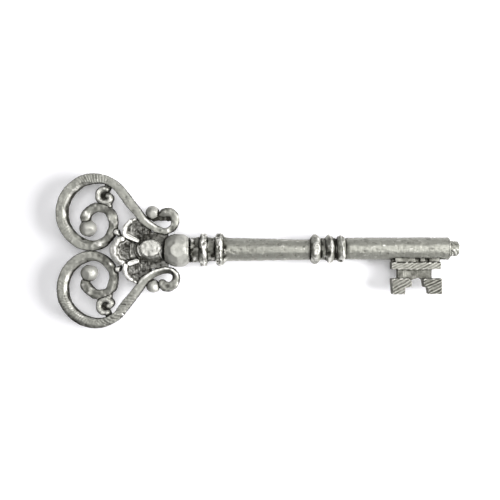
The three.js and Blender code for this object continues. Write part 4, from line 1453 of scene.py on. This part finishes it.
MATERIALS = {
    "scroll_pewter": pewter("scroll_pewter", (0.43, 0.43, 0.39, 1), RUB_AND_HIGHLIGHT, PATINA_AND_SHADE, 0.60, 1.15),
    "ball_pewter": pewter("ball_pewter", (0.50, 0.498, 0.46, 1), RUB_AND_HIGHLIGHT, PATINA_AND_SHADE, 0.54, 1.15, metallic=0.55),
    "shell_pewter": pewter("shell_pewter", (0.46, 0.457, 0.42, 1), (0.97, 0.96, 0.91, 1),
                           (0.045, 0.043, 0.036, 1), 0.54, 1.2),
    "shaft_pewter": pewter("shaft_pewter", (0.38, 0.38, 0.34, 1), RUB_AND_HIGHLIGHT, (0.06, 0.058, 0.047, 1),
                           0.60, 1.15, (0.35, 1, 1)),
    "bit_pewter": pewter("bit_pewter", (0.44, 0.438, 0.395, 1), (0.72, 0.71, 0.66, 1),
                         (0.07, 0.068, 0.055, 1), 0.60, 1.2),
}


# Camera: straight above, at the photograph's distance, turned so that the key rises to the right

VIEW_HEIGHT = 200.0
VIEW_HALF_WIDTH = 79.25
VIEW_CENTRE = (22.73, -0.07)
KEY_TILT = math.radians(0.417)


def add_camera():
    data = bpy.data.cameras.new("camera")
    data.sensor_fit = "HORIZONTAL"
    data.angle = 2 * math.atan(VIEW_HALF_WIDTH / VIEW_HEIGHT)
    data.clip_start = 0.005
    camera = link_object("camera", data)
    place = (np.array([VIEW_CENTRE[0], VIEW_CENTRE[1], VIEW_HEIGHT]) + ORIGIN) * MM
    camera.matrix_world = Matrix.Translation(Vector(place)) @ Matrix.Rotation(-KEY_TILT, 4, "Z")
    bpy.context.scene.camera = camera


# Floor and light

FLOOR_REACH = 1.5
FLOOR_PAINT = (0.86, 0.855, 0.88, 1)
FLOOR_LIFT = 0.21
LIGHTS = [
    ("key_light", (0.45, -0.05, 0.30), (-0.02, 0, 0), (0.30, 0.26), 4.5),
    ("top_light", (0.05, 0.12, 0.6), (0, 0, 0), (0.5, 0.4), 2.5),
]
SKY_LEVEL = 0.57
SKY_LEAN = (("Z", 0.40), ("X", 0.06), ("Y", 0.07))


def add_floor():
    """A white floor that takes shadows, lifted a little where the camera sees it."""
    mesh = bpy.data.meshes.new("floor")
    corners = [(FLOOR_REACH * u, FLOOR_REACH * v, 0) for u, v in ((-1, -1), (1, -1), (1, 1), (-1, 1))]
    mesh.from_pydata(corners, [], [(0, 1, 2, 3)])
    floor = link_object("floor", mesh)
    material = bpy.data.materials.new("white_floor")
    n = Nodes(material)
    n.tree.nodes.clear()
    paint = n.node("ShaderNodeBsdfDiffuse")
    paint.inputs["Color"].default_value = FLOOR_PAINT
    lift = n.node("ShaderNodeEmission")
    seen = n.node("ShaderNodeLightPath").outputs
    shown = n.math("MAXIMUM", seen["Is Camera Ray"], seen["Is Glossy Ray"])
    n.link(n.math("MULTIPLY", shown, FLOOR_LIFT), lift.inputs["Strength"])
    both = n.node("ShaderNodeAddShader")
    n.link(paint.outputs[0], both.inputs[0])
    n.link(lift.outputs[0], both.inputs[1])
    n.link(both.outputs[0], n.node("ShaderNodeOutputMaterial").inputs["Surface"])
    mesh.materials.append(material)


def add_area(name, place, aim, size, power):
    data = bpy.data.lights.new(name, "AREA")
    data.shape = "RECTANGLE"
    data.size, data.size_y = size
    data.energy = power
    lamp = link_object(name, data)
    lamp.location = place
    lamp.rotation_euler = (Vector(aim) - Vector(place)).to_track_quat("-Z", "Y").to_euler()


def add_world():
    """Even light from above, weaker near the horizon and stronger on the pin's side."""
    world = bpy.data.worlds.new("studio")
    bpy.context.scene.world = world
    n = Nodes(world)
    split = n.node("ShaderNodeSeparateXYZ")
    n.link(n.node("ShaderNodeTexCoord").outputs["Generated"], split.inputs["Vector"])
    total = SKY_LEVEL
    for axis, share in SKY_LEAN:
        lean = n.math("MULTIPLY", split.outputs[axis], share, clamped=False)
        total = n.math("ADD", total, lean, clamped=False)
    n.link(total, n.tree.nodes["Background"].inputs["Strength"])


def main():
    bpy.context.scene.view_settings.view_transform = "Standard"
    add_camera()
    add_floor()
    add_world()
    for light in LIGHTS:
        add_area(*light)
    for name in sorted(PIECES):
        obj = build(name)
        obj.data.materials.append(MATERIALS[PIECES[name]["slot"]])
        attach(obj, "root")
        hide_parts(name)
        print("piece", name, len(obj.data.polygons))


main()
